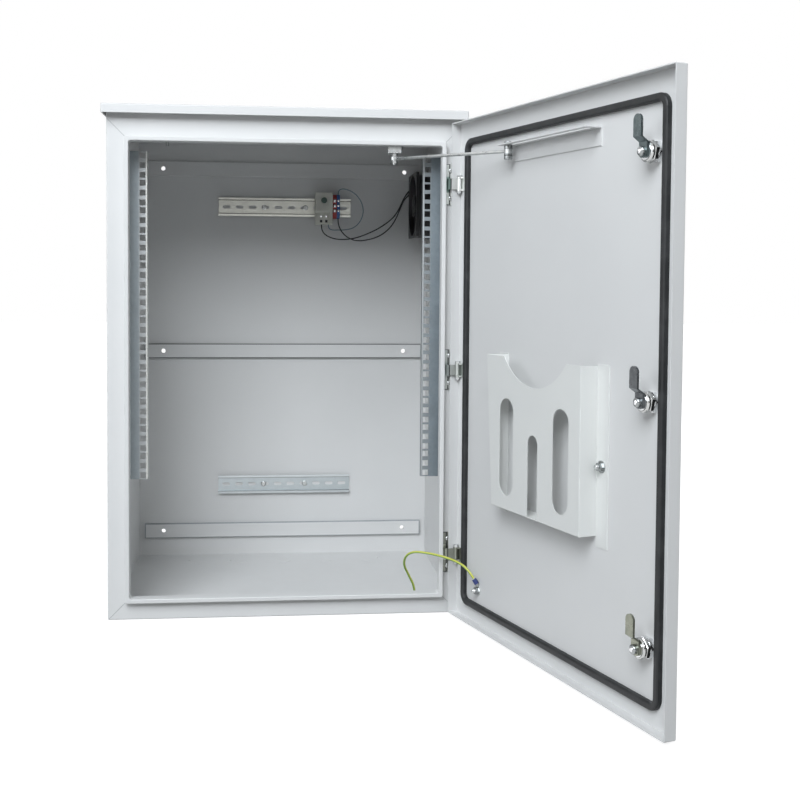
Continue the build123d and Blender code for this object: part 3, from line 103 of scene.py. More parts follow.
class Finish:
    # the node tree of one material, or of the world
    def __init__(self, name, constants, world=False):
        self.material = (bpy.data.worlds if world else bpy.data.materials).new(name)
        self.material.use_nodes = True
        self.tree = self.material.node_tree
        self.surface = self.tree.nodes["Background" if world else "Principled BSDF"]
        for socketName, value in constants.items():
            self.surface.inputs[socketName].default_value = value

    def node(self, kind, settings, values, output=0):
        made = self.tree.nodes.new(kind)
        for key, setting in settings.items():
            setattr(made, key, setting)
        for key, value in values.items():
            self.feed(made.inputs[key], value)
        return Value(self, made.outputs[output])

    def feed(self, socket, value):
        if isinstance(value, Value):
            self.tree.links.new(value.socket, socket)
        else:
            socket.default_value = value

    def place(self, source="Object"):
        return self.node("ShaderNodeTexCoord", {}, {}, source)

    def noise(self, scale, detail, roughness=0.5):
        values = {"Vector": self.place(), "Scale": scale, "Detail": detail, "Roughness": roughness}
        return self.node("ShaderNodeTexNoise", {}, values)

    def blend(self, share, first, second):
        # colour mix
        settings = {"data_type": "RGBA", "blend_type": "MIX"}
        return self.node("ShaderNodeMix", settings, {0: share, 6: first, 7: second}, 2)

    def spread(self, value, low, high, newLow=0.0, newHigh=1.0):
        values = {0: value, 1: low, 2: high, 3: newLow, 4: newHigh}
        return self.node("ShaderNodeMapRange", {"interpolation_type": "SMOOTHSTEP"}, values)

    def patched(self, cloud, values, edges=patchEdges):
        # patches of the darker colour on the main one
        return self.blend(self.spread(cloud, *edges), rgba(values["colour"]), rgba(values["darker"]))

    def axes(self):
        parts = self.node("ShaderNodeSeparateXYZ", {}, {0: self.place()})
        return {axis: Value(self, parts.socket.node.outputs[axis]) for axis in "XYZ"}

    def banded(self, base, bands):
        for band in bands:
            away = abs(self.axes()[band["axis"]] - band["centre"])
            base = self.blend((away > band["low"]) * (away < band["high"]), base, rgba(band["colour"]))
        return base

    def set(self, socketName, value):
        self.feed(self.surface.inputs[socketName], value)

    def gloss(self, cloud, low, high, edges=glossEdges):
        self.set("Roughness", self.spread(cloud, *edges, low, high))

    def bump(self, height, distance, strength=1.0):
        values = {"Height": height, "Distance": distance, "Strength": strength}
        self.set("Normal", self.node("ShaderNodeBump", {}, values))


def stripe(axis, centre, high, colour, low=-1.0):
    # colours what lies between two distances from a plane across the axis
    return {"axis": axis, "centre": centre, "low": low, "high": high, "colour": colour}


powderCoat = {
    "colour": (0.694, 0.697, 0.694),
    "darker": (0.676, 0.680, 0.678),
    "cloud": (5.0, 3.0),  # each noise is its scale, its detail and sometimes its roughness
    "specular": 0.45,
    "roughness": (0.39, 0.44),
    "gloss": (38.0, 2.0),
    "peel": (620.0, 1.5, 0.4),  # the orange-peel skin of the powder, about 1.6 mm across
    "peelHeight": 0.00006,
    "bands": [],
}
pocketCoat = {**powderCoat, "colour": (0.728, 0.738, 0.722), "darker": (0.712, 0.722, 0.708)}
# painted shade: the bands are dark lines along the edges of the raised back strips, where they cast shade
stripCoatShadeLines = {
    **powderCoat,
    "bands": [
        stripe("Z", 0.400, 0.0142, (0.20, 0.205, 0.205), low=0.0121),
        stripe("Z", 0.050, 0.0142, (0.34, 0.36, 0.38), low=0.0126),
        stripe("X", 0.0, 0.2682, (0.34, 0.36, 0.38), low=0.2662),
    ],
}
frameSeams = {
    "lipX": 0.252,
    "lipBottom": 0.028,
    "lipTop": 0.759,
    "frontY": -0.2055,
    "halfWidth": 0.0007,
    "wobble": (60.0, 2.0),
    "height": 0.0002,
    "shade": 0.8,
    "colour": (0.40, 0.41, 0.41),
}


def mitreSeams(paint, values):
    # 1 along the welded mitres that run outwards at 45 degrees from the opening's four corners
    axes = paint.axes()
    outside = abs(axes["X"]) - values["lipX"]
    wobble = paint.noise(*values["wobble"]) * values["halfWidth"]
    below = abs(outside + axes["Z"] - values["lipBottom"] + wobble) < values["halfWidth"]
    above = abs(outside - axes["Z"] + values["lipTop"] + wobble) < values["halfWidth"]
    return (below + above) * (outside > 0.0) * (axes["Y"] < values["frontY"])


def makePaint(name, values, seams=None):
    paint = Finish(name, {"Specular IOR Level": values["specular"]})
    base = paint.patched(paint.noise(*values["cloud"]), values)
    base = paint.banded(base, values["bands"])
    height = paint.noise(*values["peel"]) * values["peelHeight"]
    if seams:
        seam = mitreSeams(paint, seams)
        base = paint.blend(seam * seams["shade"], base, rgba(seams["colour"]))
        height = height + seam * seams["height"]
    paint.set("Base Color", base)
    paint.gloss(paint.noise(*values["gloss"]), *values["roughness"])
    paint.bump(height, 1.0)
    return paint.material


zincPlate = {
    "colour": (0.600, 0.615, 0.610),
    "darker": (0.500, 0.520, 0.522),
    "roughness": (0.24, 0.36),
    "gloss": (60.0, 4.0),
    "spangle": (140.0, 3.0, 0.6),
    "relief": 0.000006,
    "bands": [],
}
# painted light: both rack rails are the same steel, this left one painted lighter for how it is lit; its stripes
# are painted highlights along the rail's inner edge
leftRailLitSteel = {
    **zincPlate,
    "colour": (0.385, 0.430, 0.455),
    "darker": (0.360, 0.405, 0.430),
    "roughness": (0.46, 0.56),
    "bands": [
        stripe("X", 0.0, 0.2388, (0.47, 0.49, 0.50), low=0.2278),
        stripe("X", 0.0, 0.2278, (0.64, 0.65, 0.63), low=0.2200),
    ],
}
# painted shade: the right rack rail is painted darker than the left for how it is lit, with faint painted
# highlights along its inner edge
rightRailShadedSteel = {
    **leftRailLitSteel,
    "colour": (0.262, 0.305, 0.335),
    "darker": (0.243, 0.286, 0.315),
    "bands": [
        stripe("X", 0.0, 0.2388, (0.275, 0.305, 0.322), low=0.2278),
        stripe("X", 0.0, 0.2278, (0.330, 0.352, 0.362), low=0.2200),
    ],
}
# painted light and shade: each hat rail gets its own tone for how it is lit, a dark stripe of painted shade where
# its side walls lie in shade and a bright stripe of painted highlight along its flanges
upperHatSteelAsLit = {
    **zincPlate,
    "colour": (0.800, 0.805, 0.740),
    "darker": (0.760, 0.765, 0.705),
    "roughness": (0.30, 0.36),
    "relief": 0.0,
    "bands": [
        stripe("Z", 0.6785, 0.0137, (0.12, 0.12, 0.105), low=0.0123),
        stripe("Z", 0.6785, 0.0200, (0.93, 0.93, 0.86), low=0.0137),
    ],
}
# painted light and shade, as on the upper hat rail
lowerHatSteelAsLit = {
    **upperHatSteelAsLit,
    "colour": (0.530, 0.580, 0.600),
    "darker": (0.500, 0.550, 0.572),
    "bands": [
        stripe("Z", 0.1395, 0.0137, (0.270, 0.290, 0.300), low=0.0125),
        stripe("Z", 0.1395, 0.0200, (0.600, 0.640, 0.660), low=0.0137),
    ],
}
# painted light and shade: the three cams are one steel, each painted in the tone it shows where it is lit
topCamSteelAsLit = {**zincPlate, "colour": (0.165, 0.200, 0.205), "darker": (0.120, 0.150, 0.155)}
middleCamSteelAsLit = {**zincPlate, "colour": (0.205, 0.215, 0.225), "darker": (0.160, 0.170, 0.180)}
bottomCamSteelAsLit = {**zincPlate, "colour": (0.300, 0.310, 0.255), "darker": (0.240, 0.250, 0.205)}
screwSteel = {
    **zincPlate,
    "colour": (0.360, 0.375, 0.375),
    "darker": (0.270, 0.285, 0.290),
    "roughness": (0.18, 0.28),
}
slideSteel = {
    **screwSteel,
    "bands": [
        stripe("Z", 0.7342, 0.0007, (0.05, 0.05, 0.05)),
        stripe("Z", 0.7198, 0.0006, (0.05, 0.05, 0.05)),
    ],
}
# painted light and shade: each hinge's plate, arm and bracket tones are set for how that hinge is lit, and dark
# lines of painted shade lie in the gaps along the plate's edge and end
shadedHingeSteel = {
    **zincPlate,
    "roughness": (0.32, 0.44),
    "darkerShare": 0.84,
    "plateEdge": (0.2574, 0.2592),
    "plateEnd": (0.0316, 0.0330),
    "armHalf": 0.0126,
    "bracketReach": 0.2850,
    "gapShadeColour": (0.07, 0.075, 0.075),
    "heights": (0.100, 0.396, 0.692),
    "platesAsLit": ((0.19, 0.20, 0.18), (0.44, 0.47, 0.46), (0.52, 0.55, 0.53)),
    "armsAsLit": ((0.36, 0.38, 0.33), (0.38, 0.42, 0.41), (0.22, 0.30, 0.27)),
    "bracketsAsLit": ((0.28, 0.295, 0.26), (0.52, 0.55, 0.53), (0.80, 0.82, 0.80)),
}


def makeZinc(name, values):
    zinc = Finish(name, {"Metallic": 1.0})
    mottle = zinc.noise(*values["spangle"])
    zinc.set("Base Color", zinc.banded(zinc.patched(mottle, values), values["bands"]))
    zinc.gloss(zinc.noise(*values["gloss"]), *values["roughness"])
    zinc.bump(mottle, values["relief"])
    return zinc.material


def makeShadedHingeFinishes(values):
    # leaf and bracket of each hinge, in the tones of painted light and shade that hinge shows where it stands in
    # the frame
    made = {}
    edgeLow, edgeHigh = values["plateEdge"]
    endLow, endHigh = values["plateEnd"]
    colours = zip(values["platesAsLit"], values["armsAsLit"], values["bracketsAsLit"])
    for level, height, (plate, arm, bracket) in zip(levels, values["heights"], colours):
        bands = [
            stripe("Z", height, values["armHalf"], arm),
            stripe("Z", height, endHigh, values["gapShadeColour"], low=endLow),
            stripe("X", 0.0, edgeHigh, values["gapShadeColour"], low=edgeLow),
            stripe("X", 0.0, values["bracketReach"], bracket, low=edgeHigh),
        ]
        for piece, colour, pieceBands in (("leaf", plate, bands), ("bracket", bracket, [])):
            darker = [channel * values["darkerShare"] for channel in colour]
            steel = {**values, "colour": colour, "darker": darker, "bands": pieceBands}
            made["hinge_" + piece + "_" + level] = makeZinc(level + piece.capitalize() + "Steel", steel)
    return made


chromePlate = {
    "colour": (0.76, 0.77, 0.78),
    "roughness": (0.07, 0.14),
    "gloss": (220.0, 3.0),
    "glossEdges": (0.35, 0.65),
    "wave": (90.0, 2.0),
    "waveHeight": 0.00001,
}
nickelPlate = {**chromePlate, "colour": (0.50, 0.505, 0.50), "roughness": (0.10, 0.18)}


def makeChrome(name, values):
    chrome = Finish(name, {"Base Color": rgba(values["colour"]), "Metallic": 1.0})
    chrome.gloss(chrome.noise(*values["gloss"]), *values["roughness"], values["glossEdges"])
    chrome.bump(chrome.noise(*values["wave"]), values["waveHeight"])
    return chrome.material


gasketFoam = {
    "colour": (0.016, 0.017, 0.018),
    "worn": (0.032, 0.033, 0.034),
    "specular": 0.35,
    "roughness": (0.42, 0.62),
    "skin": (45.0, 3.0),
    "skinEdges": (0.4, 0.7),
    "skinHeight": 2.0,  # against the pores' height of 1
    "poreScale": 900.0,
    "poreHeight": 0.0002,
    "poreStrength": 0.5,
}


def makeFoam(name, values):
    foam = Finish(name, {"Specular IOR Level": values["specular"]})
    skin = foam.noise(*values["skin"])
    worn = foam.spread(skin, *values["skinEdges"])
    foam.set("Base Color", foam.blend(worn, rgba(values["colour"]), rgba(values["worn"])))
    pores = foam.node("ShaderNodeTexVoronoi", {}, {"Vector": foam.place(), "Scale": values["poreScale"]})
    foam.gloss(skin, *values["roughness"])
    foam.bump(pores + skin * values["skinHeight"], values["poreHeight"], values["poreStrength"])
    return foam.material


mouldedPlastic = {
    "shade": 0.82,  # of the darker patches
    "cloud": (30.0, 2.0),
    "gloss": (150.0, 2.0),
    "smoother": 0.06,
    "rougher": 0.08,
    "grain": (1500.0, 1.0),  # fine and spark-eroded
    "grainHeight": 0.00003,
}


def makePlastic(name, colour, roughness=0.42):
    darker = [channel * mouldedPlastic["shade"] for channel in colour]
    values = {**mouldedPlastic, "colour": colour, "darker": darker}
    plastic = Finish(name, {})
    plastic.set("Base Color", plastic.patched(plastic.noise(*values["cloud"]), values))
    plastic.gloss(plastic.noise(*values["gloss"]), roughness - values["smoother"], roughness + values["rougher"])
    plastic.bump(plastic.noise(*values["grain"]), values["grainHeight"])
    return plastic.material


earthInsulation = {
    "yellow": (0.56, 0.58, 0.10),
    "green": (0.20, 0.36, 0.07),
    "stripes": 2,  # round the tube
    "greenShare": 0.42,
    "roughness": 0.34,
    "grain": (700.0, 1.0),
    "grainHeight": 0.00003,
}


def makeStripes(name, values):
    # green stripes along the yellow insulation, from the tube's own UV map
    stripes = Finish(name, {"Roughness": values["roughness"]})
    across = stripes.node("ShaderNodeSeparateXYZ", {}, {0: stripes.place("UV")}, 1)
    green = (across * values["stripes"]) % 1.0 < values["greenShare"]
    stripes.set("Base Color", stripes.blend(green, rgba(values["yellow"]), rgba(values["green"])))
    stripes.bump(stripes.noise(*values["grain"]), values["grainHeight"])
    return stripes.material


finishes = {
    "light_grey_paint": makePaint("lightGreyPaint", powderCoat),
    "rail_paint": makeZinc("rightRailShadedSteel", rightRailShadedSteel),
    "zinc_plate": makeZinc("zincPlate", zincPlate),
    "chrome_plate": makeChrome("chromePlate", chromePlate),
    "gasket_rubber": makeFoam("gasketFoam", gasketFoam),
    "fan_plastic": makePlastic("fanPlastic", (0.014, 0.014, 0.015), 0.4),
    "controller_plastic": makePlastic("controllerPlastic", (0.64, 0.64, 0.58)),
    "dial_plastic": makePlastic("dialPlastic", (0.075, 0.125, 0.105)),
    "red_plastic": makePlastic("redPlastic", (0.36, 0.040, 0.035)),
    "blue_plastic": makePlastic("bluePlastic", (0.045, 0.13, 0.36)),
    "earth_insulation": makeStripes("earthInsulation", earthInsulation),
    "black_insulation": makePlastic("blackInsulation", (0.012, 0.012, 0.013), 0.36),
    "grey_insulation": makePlastic("greyInsulation", (0.19, 0.26, 0.30), 0.38),
    "nickelPlate": makeChrome("nickelPlate", nickelPlate),
    "screwSteel": makeZinc("screwSteel", screwSteel),
    "stripPaintShadeLines": makePaint("stripPaintShadeLines", stripCoatShadeLines),
    "slideSteel": makeZinc("slideSteel", slideSteel),
}
# pieces that look different from the rest of their material
ownFinishes = {
    "body_shell": makePaint("bodyPaint", powderCoat, frameSeams),
    "document_pocket": makePaint("pocketPaint", pocketCoat),
    "back_strip_middle": finishes["stripPaintShadeLines"],
    "back_strip_bottom": finishes["stripPaintShadeLines"],
    "stay_slider": finishes["slideSteel"],
    "stay_end_nut": finishes["slideSteel"],
    "rack_rail_left": makeZinc("leftRailLitSteel", leftRailLitSteel),
    "mounting_rail_upper": makeZinc("upperHatSteelAsLit", upperHatSteelAsLit),
    "mounting_rail_lower": makeZinc("lowerHatSteelAsLit", lowerHatSteelAsLit),
    "door_nuts": finishes["screwSteel"],
    "lock_cam_top": makeZinc("topCamSteelAsLit", topCamSteelAsLit),
    "lock_cam_middle": makeZinc("middleCamSteelAsLit", middleCamSteelAsLit),
    "lock_cam_bottom": makeZinc("bottomCamSteelAsLit", bottomCamSteelAsLit),
    **{"lock_screw_" + level: finishes["screwSteel"] for level in levels},
    **makeShadedHingeFinishes(shadedHingeSteel),
}
for part in frame["record"]["subparts"]:
    node = frame["nodes"][part["node"]]
    node.data.materials.clear()
    node.data.materials.append(ownFinishes.get(part["node"], finishes[part["material_slot"]]))
print("materials made:", len(bpy.data.materials))


# Camera, lamps and floor
cameraView = {
    "place": (-0.0194, -1.9793, 0.5380),
    "focalPixels": 1115.7,  # in a picture 800 pixels wide
    "pictureWidth": 800.0,
    "sensor": 36.0,
    "yaw": 5.707,
    "pitch": -2.362,
    "roll": 0.401,
    "centreX": 385.98,  # of the lens, in pixels
    "centreY": 326.73,
    "nearest": 0.05,
}


def makeCamera(values):
    data = bpy.data.cameras.new("camera")
    data.sensor_width = values["sensor"]
    data.lens = values["sensor"] * values["focalPixels"] / values["pictureWidth"]
    data.shift_x = 0.5 - values["centreX"] / values["pictureWidth"]
    data.shift_y = values["centreY"] / values["pictureWidth"] - 0.5
    data.clip_start = values["nearest"]
    camera = bpy.data.objects.new("camera", data)
    turn = Matrix.Rotation(-math.radians(values["yaw"]), 4, "Z")
    tilt = Matrix.Rotation(math.radians(90 + values["pitch"]), 4, "X")
    roll = Matrix.Rotation(math.radians(values["roll"]), 4, "Z")
    camera.matrix_world = Matrix.Translation(values["place"]) @ turn @ tilt @ roll
    bpy.context.scene.collection.objects.link(camera)
    bpy.context.scene.camera = camera


def addLamp(name, colour, place, target, size, watts):
    data = bpy.data.lights.new(name, "AREA")
    data.shape = "RECTANGLE"
    data.size, data.size_y = size
    data.energy = watts
    data.color = colour
    lamp = bpy.data.objects.new(name, data)
    lamp.location = place
    lamp.rotation_euler = (Vector(target) - Vector(place)).to_track_quat("-Z", "Y").to_euler()
    bpy.context.scene.collection.objects.link(lamp)


studio = {
    "ambientColour": (0.065, 0.062, 0.055),
    "lampColour": (0.955, 1.0, 1.045),
    "lamps": {
        "high": {"place": (-0.9, -2.4, 3.0), "target": (0.0, 0.0, 0.35), "size": (1.6, 1.2), "watts": 57.0},
        "front": {"place": (-0.9, -2.9, 2.1), "target": (0.0, 0.0, 0.40), "size": (2.0, 1.0), "watts": 54.0},
        "left": {"place": (-2.6, -1.3, 1.3), "target": (0.35, -0.4, 0.40), "size": (1.6, 1.6), "watts": 17.0},
        "right": {"place": (0.9, -2.9, 2.1), "target": (0.0, 0.0, 0.40), "size": (1.6, 1.0), "watts": 12.0},
        "back": {"place": (1.4, 2.4, 2.3), "target": (0.0, 0.0, 0.4), "size": (2.2, 1.6), "watts": 60.0},
    },
    "floorColour": 0.30,
    "floorSize": 24.0,
    "glow": (0.84, 1.0),  # the floor's white, from near the object outwards
    "glowReach": (0.8, 3.2),
    "clothColour": 0.02,
    "dullness": 0.9,  # roughness of floor and cloth
    "flags": {
        "behindCamera": {"middle": (0.0, -4.6, 0.9), "size": (5.0, 0.9), "turn": 0.0},
        "leftFlag": {"middle": (-4.0, -1.0, 1.0), "size": (3.0, 0.9), "turn": 90.0},
    },
}


def shownRays(finish):
    # rays that come straight from the camera, by a reflection or through something clear
    camera, glossy, transmission = (
        finish.node("ShaderNodeLightPath", {}, {}, name)
        for name in ("Is Camera Ray", "Is Glossy Ray", "Is Transmission Ray")
    )
    return camera + glossy + transmission


def addCard(name, matrix, material):
    # a flat rectangle of the studio
    mesh = bmesh.new()
    bmesh.ops.create_grid(mesh, x_segments=1, y_segments=1, size=0.5, matrix=matrix)
    data = bpy.data.meshes.new(name)
    mesh.to_mesh(data)
    mesh.free()
    data.materials.append(material)
    card = bpy.data.objects.new(name, data)
    bpy.context.scene.collection.objects.link(card)
    return card


def addFlag(name, middle, size, turn, colour, roughness):
    # a dark card that only reflections show
    upright = Matrix.Rotation(math.radians(turn), 4, "Z") @ Matrix.Rotation(math.pi / 2, 4, "X")
    matrix = Matrix.Translation(middle) @ upright @ Matrix.Diagonal((*size, 1.0, 1.0))
    cloth = Finish(name + "Cloth", {"Base Color": rgba([colour] * 3), "Roughness": roughness})
    card = addCard(name, matrix, cloth.material)
    card.visible_camera = False
    card.visible_diffuse = False
    card.visible_shadow = False


def makeStudio(values):
    for name, flag in values["flags"].items():
        addFlag(name, **flag, colour=values["clothColour"], roughness=values["dullness"])
    for name, lamp in values["lamps"].items():
        addLamp(name + "Lamp", values["lampColour"], **lamp)
    sky = Finish("studioWorld", {}, world=True)
    sky.set("Color", sky.blend(shownRays(sky), rgba(values["ambientColour"]), white))
    bpy.context.scene.world = sky.material
    paper = Finish("floorPaper", {
        "Base Color": rgba([values["floorColour"]] * 3),
        "Roughness": values["dullness"],
        "Emission Strength": 1.0,
    })
    distance = paper.node("ShaderNodeVectorMath", {"operation": "LENGTH"}, {0: paper.place()}, "Value")
    glow = paper.spread(distance, *values["glowReach"], *values["glow"])
    paper.set("Emission Color", paper.blend(glow * shownRays(paper), black, white))
    floorScale = Matrix.Diagonal((values["floorSize"], values["floorSize"], 1.0, 1.0))
    floor = addCard("floor", floorScale, paper.material)
    bpy.context.scene.view_settings.view_transform = "Standard"


makeCamera(cameraView)
makeStudio(studio)
print("camera, lamps and floor placed")


# Small pieces
openDoor = {  # seen from above, with the door open at 108 degrees
    "edge": (0.275852, -0.212440),
    "along": (0.309017, -0.951057),
    "inward": (-0.951057, -0.309017),
}


def onDoor(inset, height, rise=0.0):
    # a point of the open door, by its distance from the hinge edge, its height
    # and its distance inside the outer face
    edge, along, inward = (Vector((*openDoor[key], 0.0)) for key in ("edge", "along", "inward"))
    return edge + along * inset + inward * rise + Vector((0.0, 0.0, height))


def facing(place, direction):
    return Matrix.Translation(place) @ Vector(direction).to_track_quat("Z", "Y").to_matrix().to_4x4()


def doorFacing(inset, height):
    return facing(onDoor(inset, height), (*openDoor["inward"], 0.0))


def addTurned(mesh, profile, matrix, steps, closed=False):
    # a profile of (radius, height) pairs turned round local Z
    points = [mesh.verts.new(matrix @ Vector((radius, 0.0, height))) for radius, height in profile]
    pairs = list(zip(points, points[1:])) + ([(points[-1], points[0])] if closed else [])
    edges = [mesh.edges.new(pair) for pair in pairs]
    bmesh.ops.spin(
        mesh, geom=points + edges, cent=matrix.to_translation(), axis=matrix.to_3x3() @ Vector((0, 0, 1)),
        dvec=(0, 0, 0), angle=2 * math.pi, steps=steps, use_merge=True, use_duplicate=False,
    )


def addBox(mesh, low, high, edge):
    # a block with rounded edges
    middle = [(a + b) / 2 for a, b in zip(low, high)]
    size = [b - a for a, b in zip(low, high)]
    matrix = Matrix.Translation(middle) @ Matrix.Diagonal((*size, 1.0))
    made = bmesh.ops.create_cube(mesh, size=1.0, matrix=matrix)
    sides = list({side for vert in made["verts"] for side in vert.link_edges})
    bmesh.ops.bevel(mesh, geom=sides, offset=edge, segments=2, profile=0.5, affect="EDGES", material=-1)


def addPiece(name, body, slot, mesh, material=None):
    bmesh.ops.recalc_face_normals(mesh, faces=mesh.faces)
    data = bpy.data.meshes.new(name)
    mesh.to_mesh(data)
    mesh.free()
    data.materials.append(material or finishes[slot])
    piece = bpy.data.objects.new(name, data)
    bpy.context.scene.collection.objects.link(piece)
    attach(piece, body)
    return piece


threads = {
    "pitch": 0.0010,
    "radius": 0.0030,
    "foot": 0.00005,  # of a ridge, outside the stud
    "depth": 0.00025,
    "tip": 0.0006,
    "tipRise": 0.0004,
    "steps": 24,
    "onDoor": [(0.1485, 0.302, 0.0088, 0.0125), (0.4013, 0.302, 0.0088, 0.0125), (0.0740, 0.057, 0.0078, 0.0125)],
    "onFloor": [(0.2125, -0.1520, 0.0078, 0.0175)],
}


def threadProfile(start, end, values):
    # a saw of ridges along a stud's free end
    radius = values["radius"]
    count = round((end - start) / values["pitch"])
    step = (end - start) / count
    profile = []
    for index in range(count):
        foot = start + index * step
        profile += [(radius + values["foot"], foot), (radius + values["depth"], foot + step / 2)]
    top = end + values["tipRise"]
    return profile + [(radius, end), (radius - values["tip"], top), (0.0, top)]


def addThreads(values):
    mesh = bmesh.new()
    for inset, height, start, end in values["onDoor"]:
        addTurned(mesh, threadProfile(start, end, values), doorFacing(inset, height), values["steps"])
    addPiece("doorThreads", "door", "zinc_plate", mesh)
    mesh = bmesh.new()
    for x, y, start, end in values["onFloor"]:
        addTurned(mesh, threadProfile(start, end, values), Matrix.Translation((x, y, 0.0)), values["steps"])
    addPiece("floorThread", "cabinet", "zinc_plate", mesh)


lockCollars = {
    "inset": 0.504,
    "heights": (0.100, 0.396, 0.692),
    "nut": [
        (0.0118, 0.0077), (0.0126, 0.0077), (0.0138, 0.0087), (0.0138, 0.0128), (0.0130, 0.0137), (0.0118, 0.0137),
    ],
    "nutSides": 6,
    "nutTurn": 0.3,
    "drum": [
        (0.0103, 0.0138), (0.0124, 0.0138), (0.0129, 0.0144), (0.0129, 0.0166), (0.0122, 0.0180), (0.0108, 0.0187),
        (0.0103, 0.0187),
    ],
    "drumSteps": 48,
    "dome": [(0.0031, 0.0278), (0.0031, 0.0283), (0.0025, 0.0290), (0.0013, 0.0294), (0.0, 0.0295)],
    "domeSteps": 24,
}


def addLockCollars(values):
    mesh = bmesh.new()
    places = [doorFacing(values["inset"], height) for height in values["heights"]]
    for place in places:
        nutPlace = place @ Matrix.Rotation(values["nutTurn"], 4, "Z")
        addTurned(mesh, values["nut"], nutPlace, values["nutSides"], closed=True)
        addTurned(mesh, values["drum"], place, values["drumSteps"], closed=True)
    addPiece("lockCollars", "door", "chrome_plate", mesh, finishes["nickelPlate"])
    for level, place in zip(levels, places):
        head = bmesh.new()
        addTurned(head, values["dome"], place, values["domeSteps"])
        addPiece(level + "LockDome", "lock_" + level, "chrome_plate", head)


controllerTrim = {
    "screws": [(0.0684, 0.160, 0.6603), (0.0785, 0.160, 0.6603)],
    "screwHead": [(0.0026, 0.0), (0.0026, 0.0005), (0.0017, 0.0011), (0.0, 0.0013)],
    "screwSteps": 20,
    "terminalX": (0.0945, 0.1015),
    "terminalY": 0.1608,
    "terminalHeights": (0.6900, 0.6805, 0.6710),
    "terminalHead": [(0.0021, 0.0), (0.0021, 0.0008), (0.0014, 0.0014), (0.0, 0.0016)],
    "terminalSteps": 16,
    "clampX": (0.0917, 0.0973),
    "clampY": (0.1600, 0.1612),
    "clampHalf": 0.0031,
    "clampEdge": 0.0003,
    "entryX": ((0.0661, 0.0707), (0.0762, 0.0808)),
    "entryY": (0.1594, 0.1605),
    "entryZ": (0.6482, 0.6532),
    "entryEdge": 0.0002,
    "rib": ((0.0843, 0.1552, 0.6456), (0.0903, 0.1605, 0.6704)),
    "ribEdge": 0.0006,
}


def addControllerTrim(values):
    forward = (0, -1, 0)
    heads = bmesh.new()
    for place in values["screws"]:
        addTurned(heads, values["screwHead"], facing(place, forward), values["screwSteps"])
    for height in values["terminalHeights"]:
        for x in values["terminalX"]:
            place = facing((x, values["terminalY"], height), forward)
            addTurned(heads, values["terminalHead"], place, values["terminalSteps"])
    for height in values["terminalHeights"]:
        clampZ = (height - values["clampHalf"], height + values["clampHalf"])
        addBox(heads, *zip(values["clampX"], values["clampY"], clampZ), values["clampEdge"])
    addPiece("controllerScrews", "cabinet", "chrome_plate", heads)
    # painted shade: thin black boxes stand for the dark insides of the two wire entries
    entryShades = bmesh.new()
    for entryX in values["entryX"]:
        addBox(entryShades, *zip(entryX, values["entryY"], values["entryZ"]), values["entryEdge"])
    addPiece("controllerEntryShades", "cabinet", "fan_plastic", entryShades)
    rib = bmesh.new()
    addBox(rib, *values["rib"], values["ribEdge"])
    addPiece("controllerRib", "cabinet", "controller_plastic", rib)


blueSleeve = {
    "start": (0.2899, -0.2831, 0.0760),
    "direction": (0.0084, -0.0044, -0.0141),
    "profile": [(0.0034, 0.0010), (0.0037, 0.0012), (0.0037, 0.0096), (0.0034, 0.0098)],
    "steps": 24,
    "colour": (0.022, 0.040, 0.17),
}


def addSleeve(values):
    mesh = bmesh.new()
    addTurned(mesh, values["profile"], facing(values["start"], values["direction"]), values["steps"], closed=True)
    return addPiece("blueSleeve", "door", "blue_plastic", mesh, makePlastic("sleevePlastic", values["colour"]))


addThreads(threads)
addLockCollars(lockCollars)
addControllerTrim(controllerTrim)
print("small pieces added")


# Leads
leadCurve = {"order": 3, "stepsAlong": 12, "stepsRound": 6}
earthLead = {
    "diameter": 0.0038,
    "length": 0.229,
    "route": [
        (0.2125, -0.1670, 0.0150),
        (0.2125, -0.1670, 0.0320),
        (0.2020, -0.1720, 0.0530),
        (0.1915, -0.1820, 0.0740),
        (0.1940, -0.1940, 0.0920),
        (0.2050, -0.2045, 0.1005),
        (0.2240, -0.2155, 0.1010),
        (0.2470, -0.2330, 0.0995),
        (0.2680, -0.2580, 0.0965),
        (0.2815, -0.2787, 0.0901),
        (0.2899, -0.2831, 0.0760),
    ],
}
fanLeadA = {
    "diameter": 0.0023,
    "length": 0.2443,
    "route": [
        (0.0696, 0.1720, 0.6450),
        (0.0696, 0.1720, 0.6360),
        (0.0750, 0.1740, 0.6270),
        (0.0860, 0.1770, 0.6205),
        (0.1030, 0.1810, 0.6165),
        (0.1310, 0.1850, 0.6183),
        (0.1587, 0.1880, 0.6281),
        (0.1866, 0.1910, 0.6419),
        (0.2118, 0.1940, 0.6612),
        (0.2232, 0.1965, 0.6803),
        (0.2315, 0.1985, 0.6994),
        (0.2395, 0.2000, 0.7110),
        (0.2465, 0.2000, 0.7190),
        (0.2465, 0.1930, 0.7190),
    ],
}
fanLeadB = {
    "diameter": 0.0023,
    "length": 0.2245,
    "route": [
        (0.1015, 0.1710, 0.6570),
        (0.1015, 0.1710, 0.6470),
        (0.1055, 0.1695, 0.6360),
        (0.1120, 0.1700, 0.6270),
        (0.1217, 0.1725, 0.6195),
        (0.1360, 0.1780, 0.6145),
        (0.1556, 0.1830, 0.6156),
        (0.1808, 0.1850, 0.6229),
        (0.2004, 0.1870, 0.6367),
        (0.2145, 0.1895, 0.6558),
        (0.2232, 0.1920, 0.6776),
        (0.2310, 0.1945, 0.6950),
        (0.2385, 0.1990, 0.7030),
        (0.2465, 0.2000, 0.7085),
        (0.2465, 0.1930, 0.7085),
    ],
}
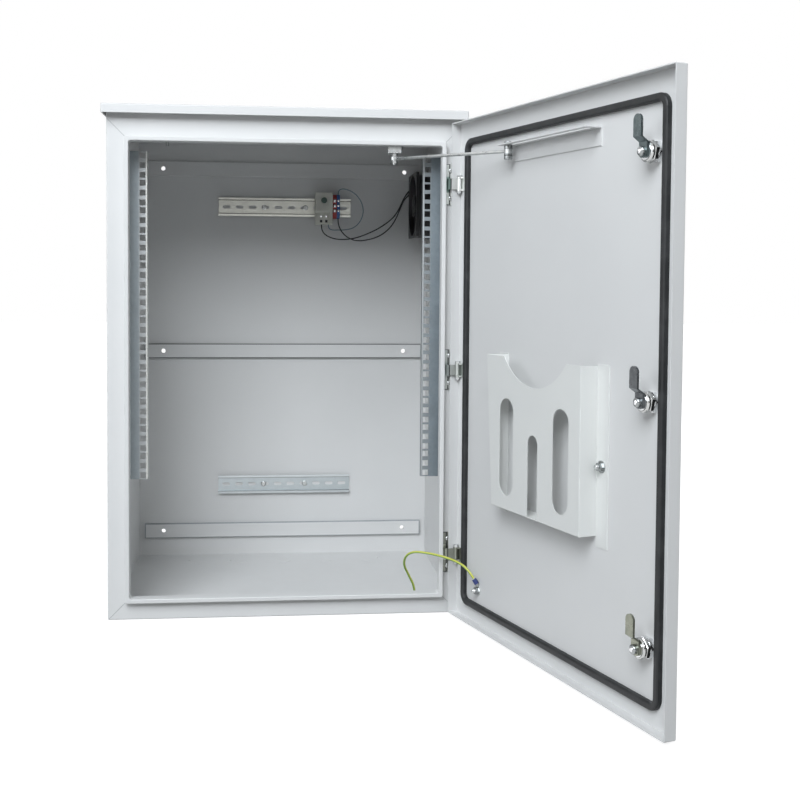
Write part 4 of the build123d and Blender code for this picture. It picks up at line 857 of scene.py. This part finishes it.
jumper = {
    "diameter": 0.0020,
    "length": 0.1762,
    "route": [
        (0.1015, 0.1710, 0.7020),
        (0.1015, 0.1710, 0.7095),
        (0.1075, 0.1680, 0.7135),
        (0.1165, 0.1645, 0.7125),
        (0.1286, 0.1625, 0.7075),
        (0.1396, 0.1630, 0.6984),
        (0.1485, 0.1650, 0.6828),
        (0.1500, 0.1680, 0.6671),
        (0.1446, 0.1710, 0.6512),
        (0.1325, 0.1740, 0.6392),
        (0.1161, 0.1760, 0.6351),
        (0.1010, 0.1765, 0.6350),
        (0.0900, 0.1750, 0.6345),
        (0.0830, 0.1730, 0.6380),
        (0.0830, 0.1730, 0.6450),
    ],
}


def routeCurve(name, values, thick=True):
    data = bpy.data.curves.new(name, "CURVE")
    data.dimensions = "3D"
    data.resolution_u = leadCurve["stepsAlong"]
    if thick:
        data.bevel_depth = values["diameter"] / 2
        data.bevel_resolution = leadCurve["stepsRound"]
        data.use_fill_caps = True
    spline = data.splines.new("NURBS")
    spline.points.add(len(values["route"]) - 1)
    for point, place in zip(spline.points, values["route"]):
        point.co = (*place, 1.0)
    spline.order_u = leadCurve["order"]
    spline.use_endpoint_u = True
    return data


def addLead(name, values, node, slot):
    lead = bpy.data.objects.new(name, routeCurve(name, values))
    lead.data.materials.append(finishes[slot])
    bpy.context.scene.collection.objects.link(lead)
    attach(lead, "cabinet")
    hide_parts(node)


def curveMesh(name, data):
    # the mesh of a curve, taken through a passing object
    passing = bpy.data.objects.new(name, data)
    bpy.context.scene.collection.objects.link(passing)
    bpy.context.view_layer.update()
    mesh = bpy.data.meshes.new_from_object(passing.evaluated_get(bpy.context.evaluated_depsgraph_get()))
    bpy.data.objects.remove(passing)
    mesh.name = name
    return mesh


def addEarthLead(values):
    # a mesh of the lead, which runs across the door's hinge
    centreLine = curveMesh("earthLeadLine", routeCurve("earthLeadLine", values, thick=False))
    tube = curveMesh("earthLead", routeCurve("earthLeadTube", values))
    lead = bpy.data.objects.new("earthLead", tube)
    tube.materials.clear()
    tube.materials.append(finishes["earth_insulation"])
    bpy.context.scene.collection.objects.link(lead)
    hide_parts("earth_lead")
    addSleeve(blueSleeve)
    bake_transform(lead)


addEarthLead(earthLead)
for name, values, node, slot in (
    ("fanLeadA", fanLeadA, "fan_lead_a", "black_insulation"),
    ("fanLeadB", fanLeadB, "fan_lead_b", "black_insulation"),
    ("jumperLead", jumper, "jumper_lead", "grey_insulation"),
):
    addLead(name, values, node, slot)
print("leads laid")
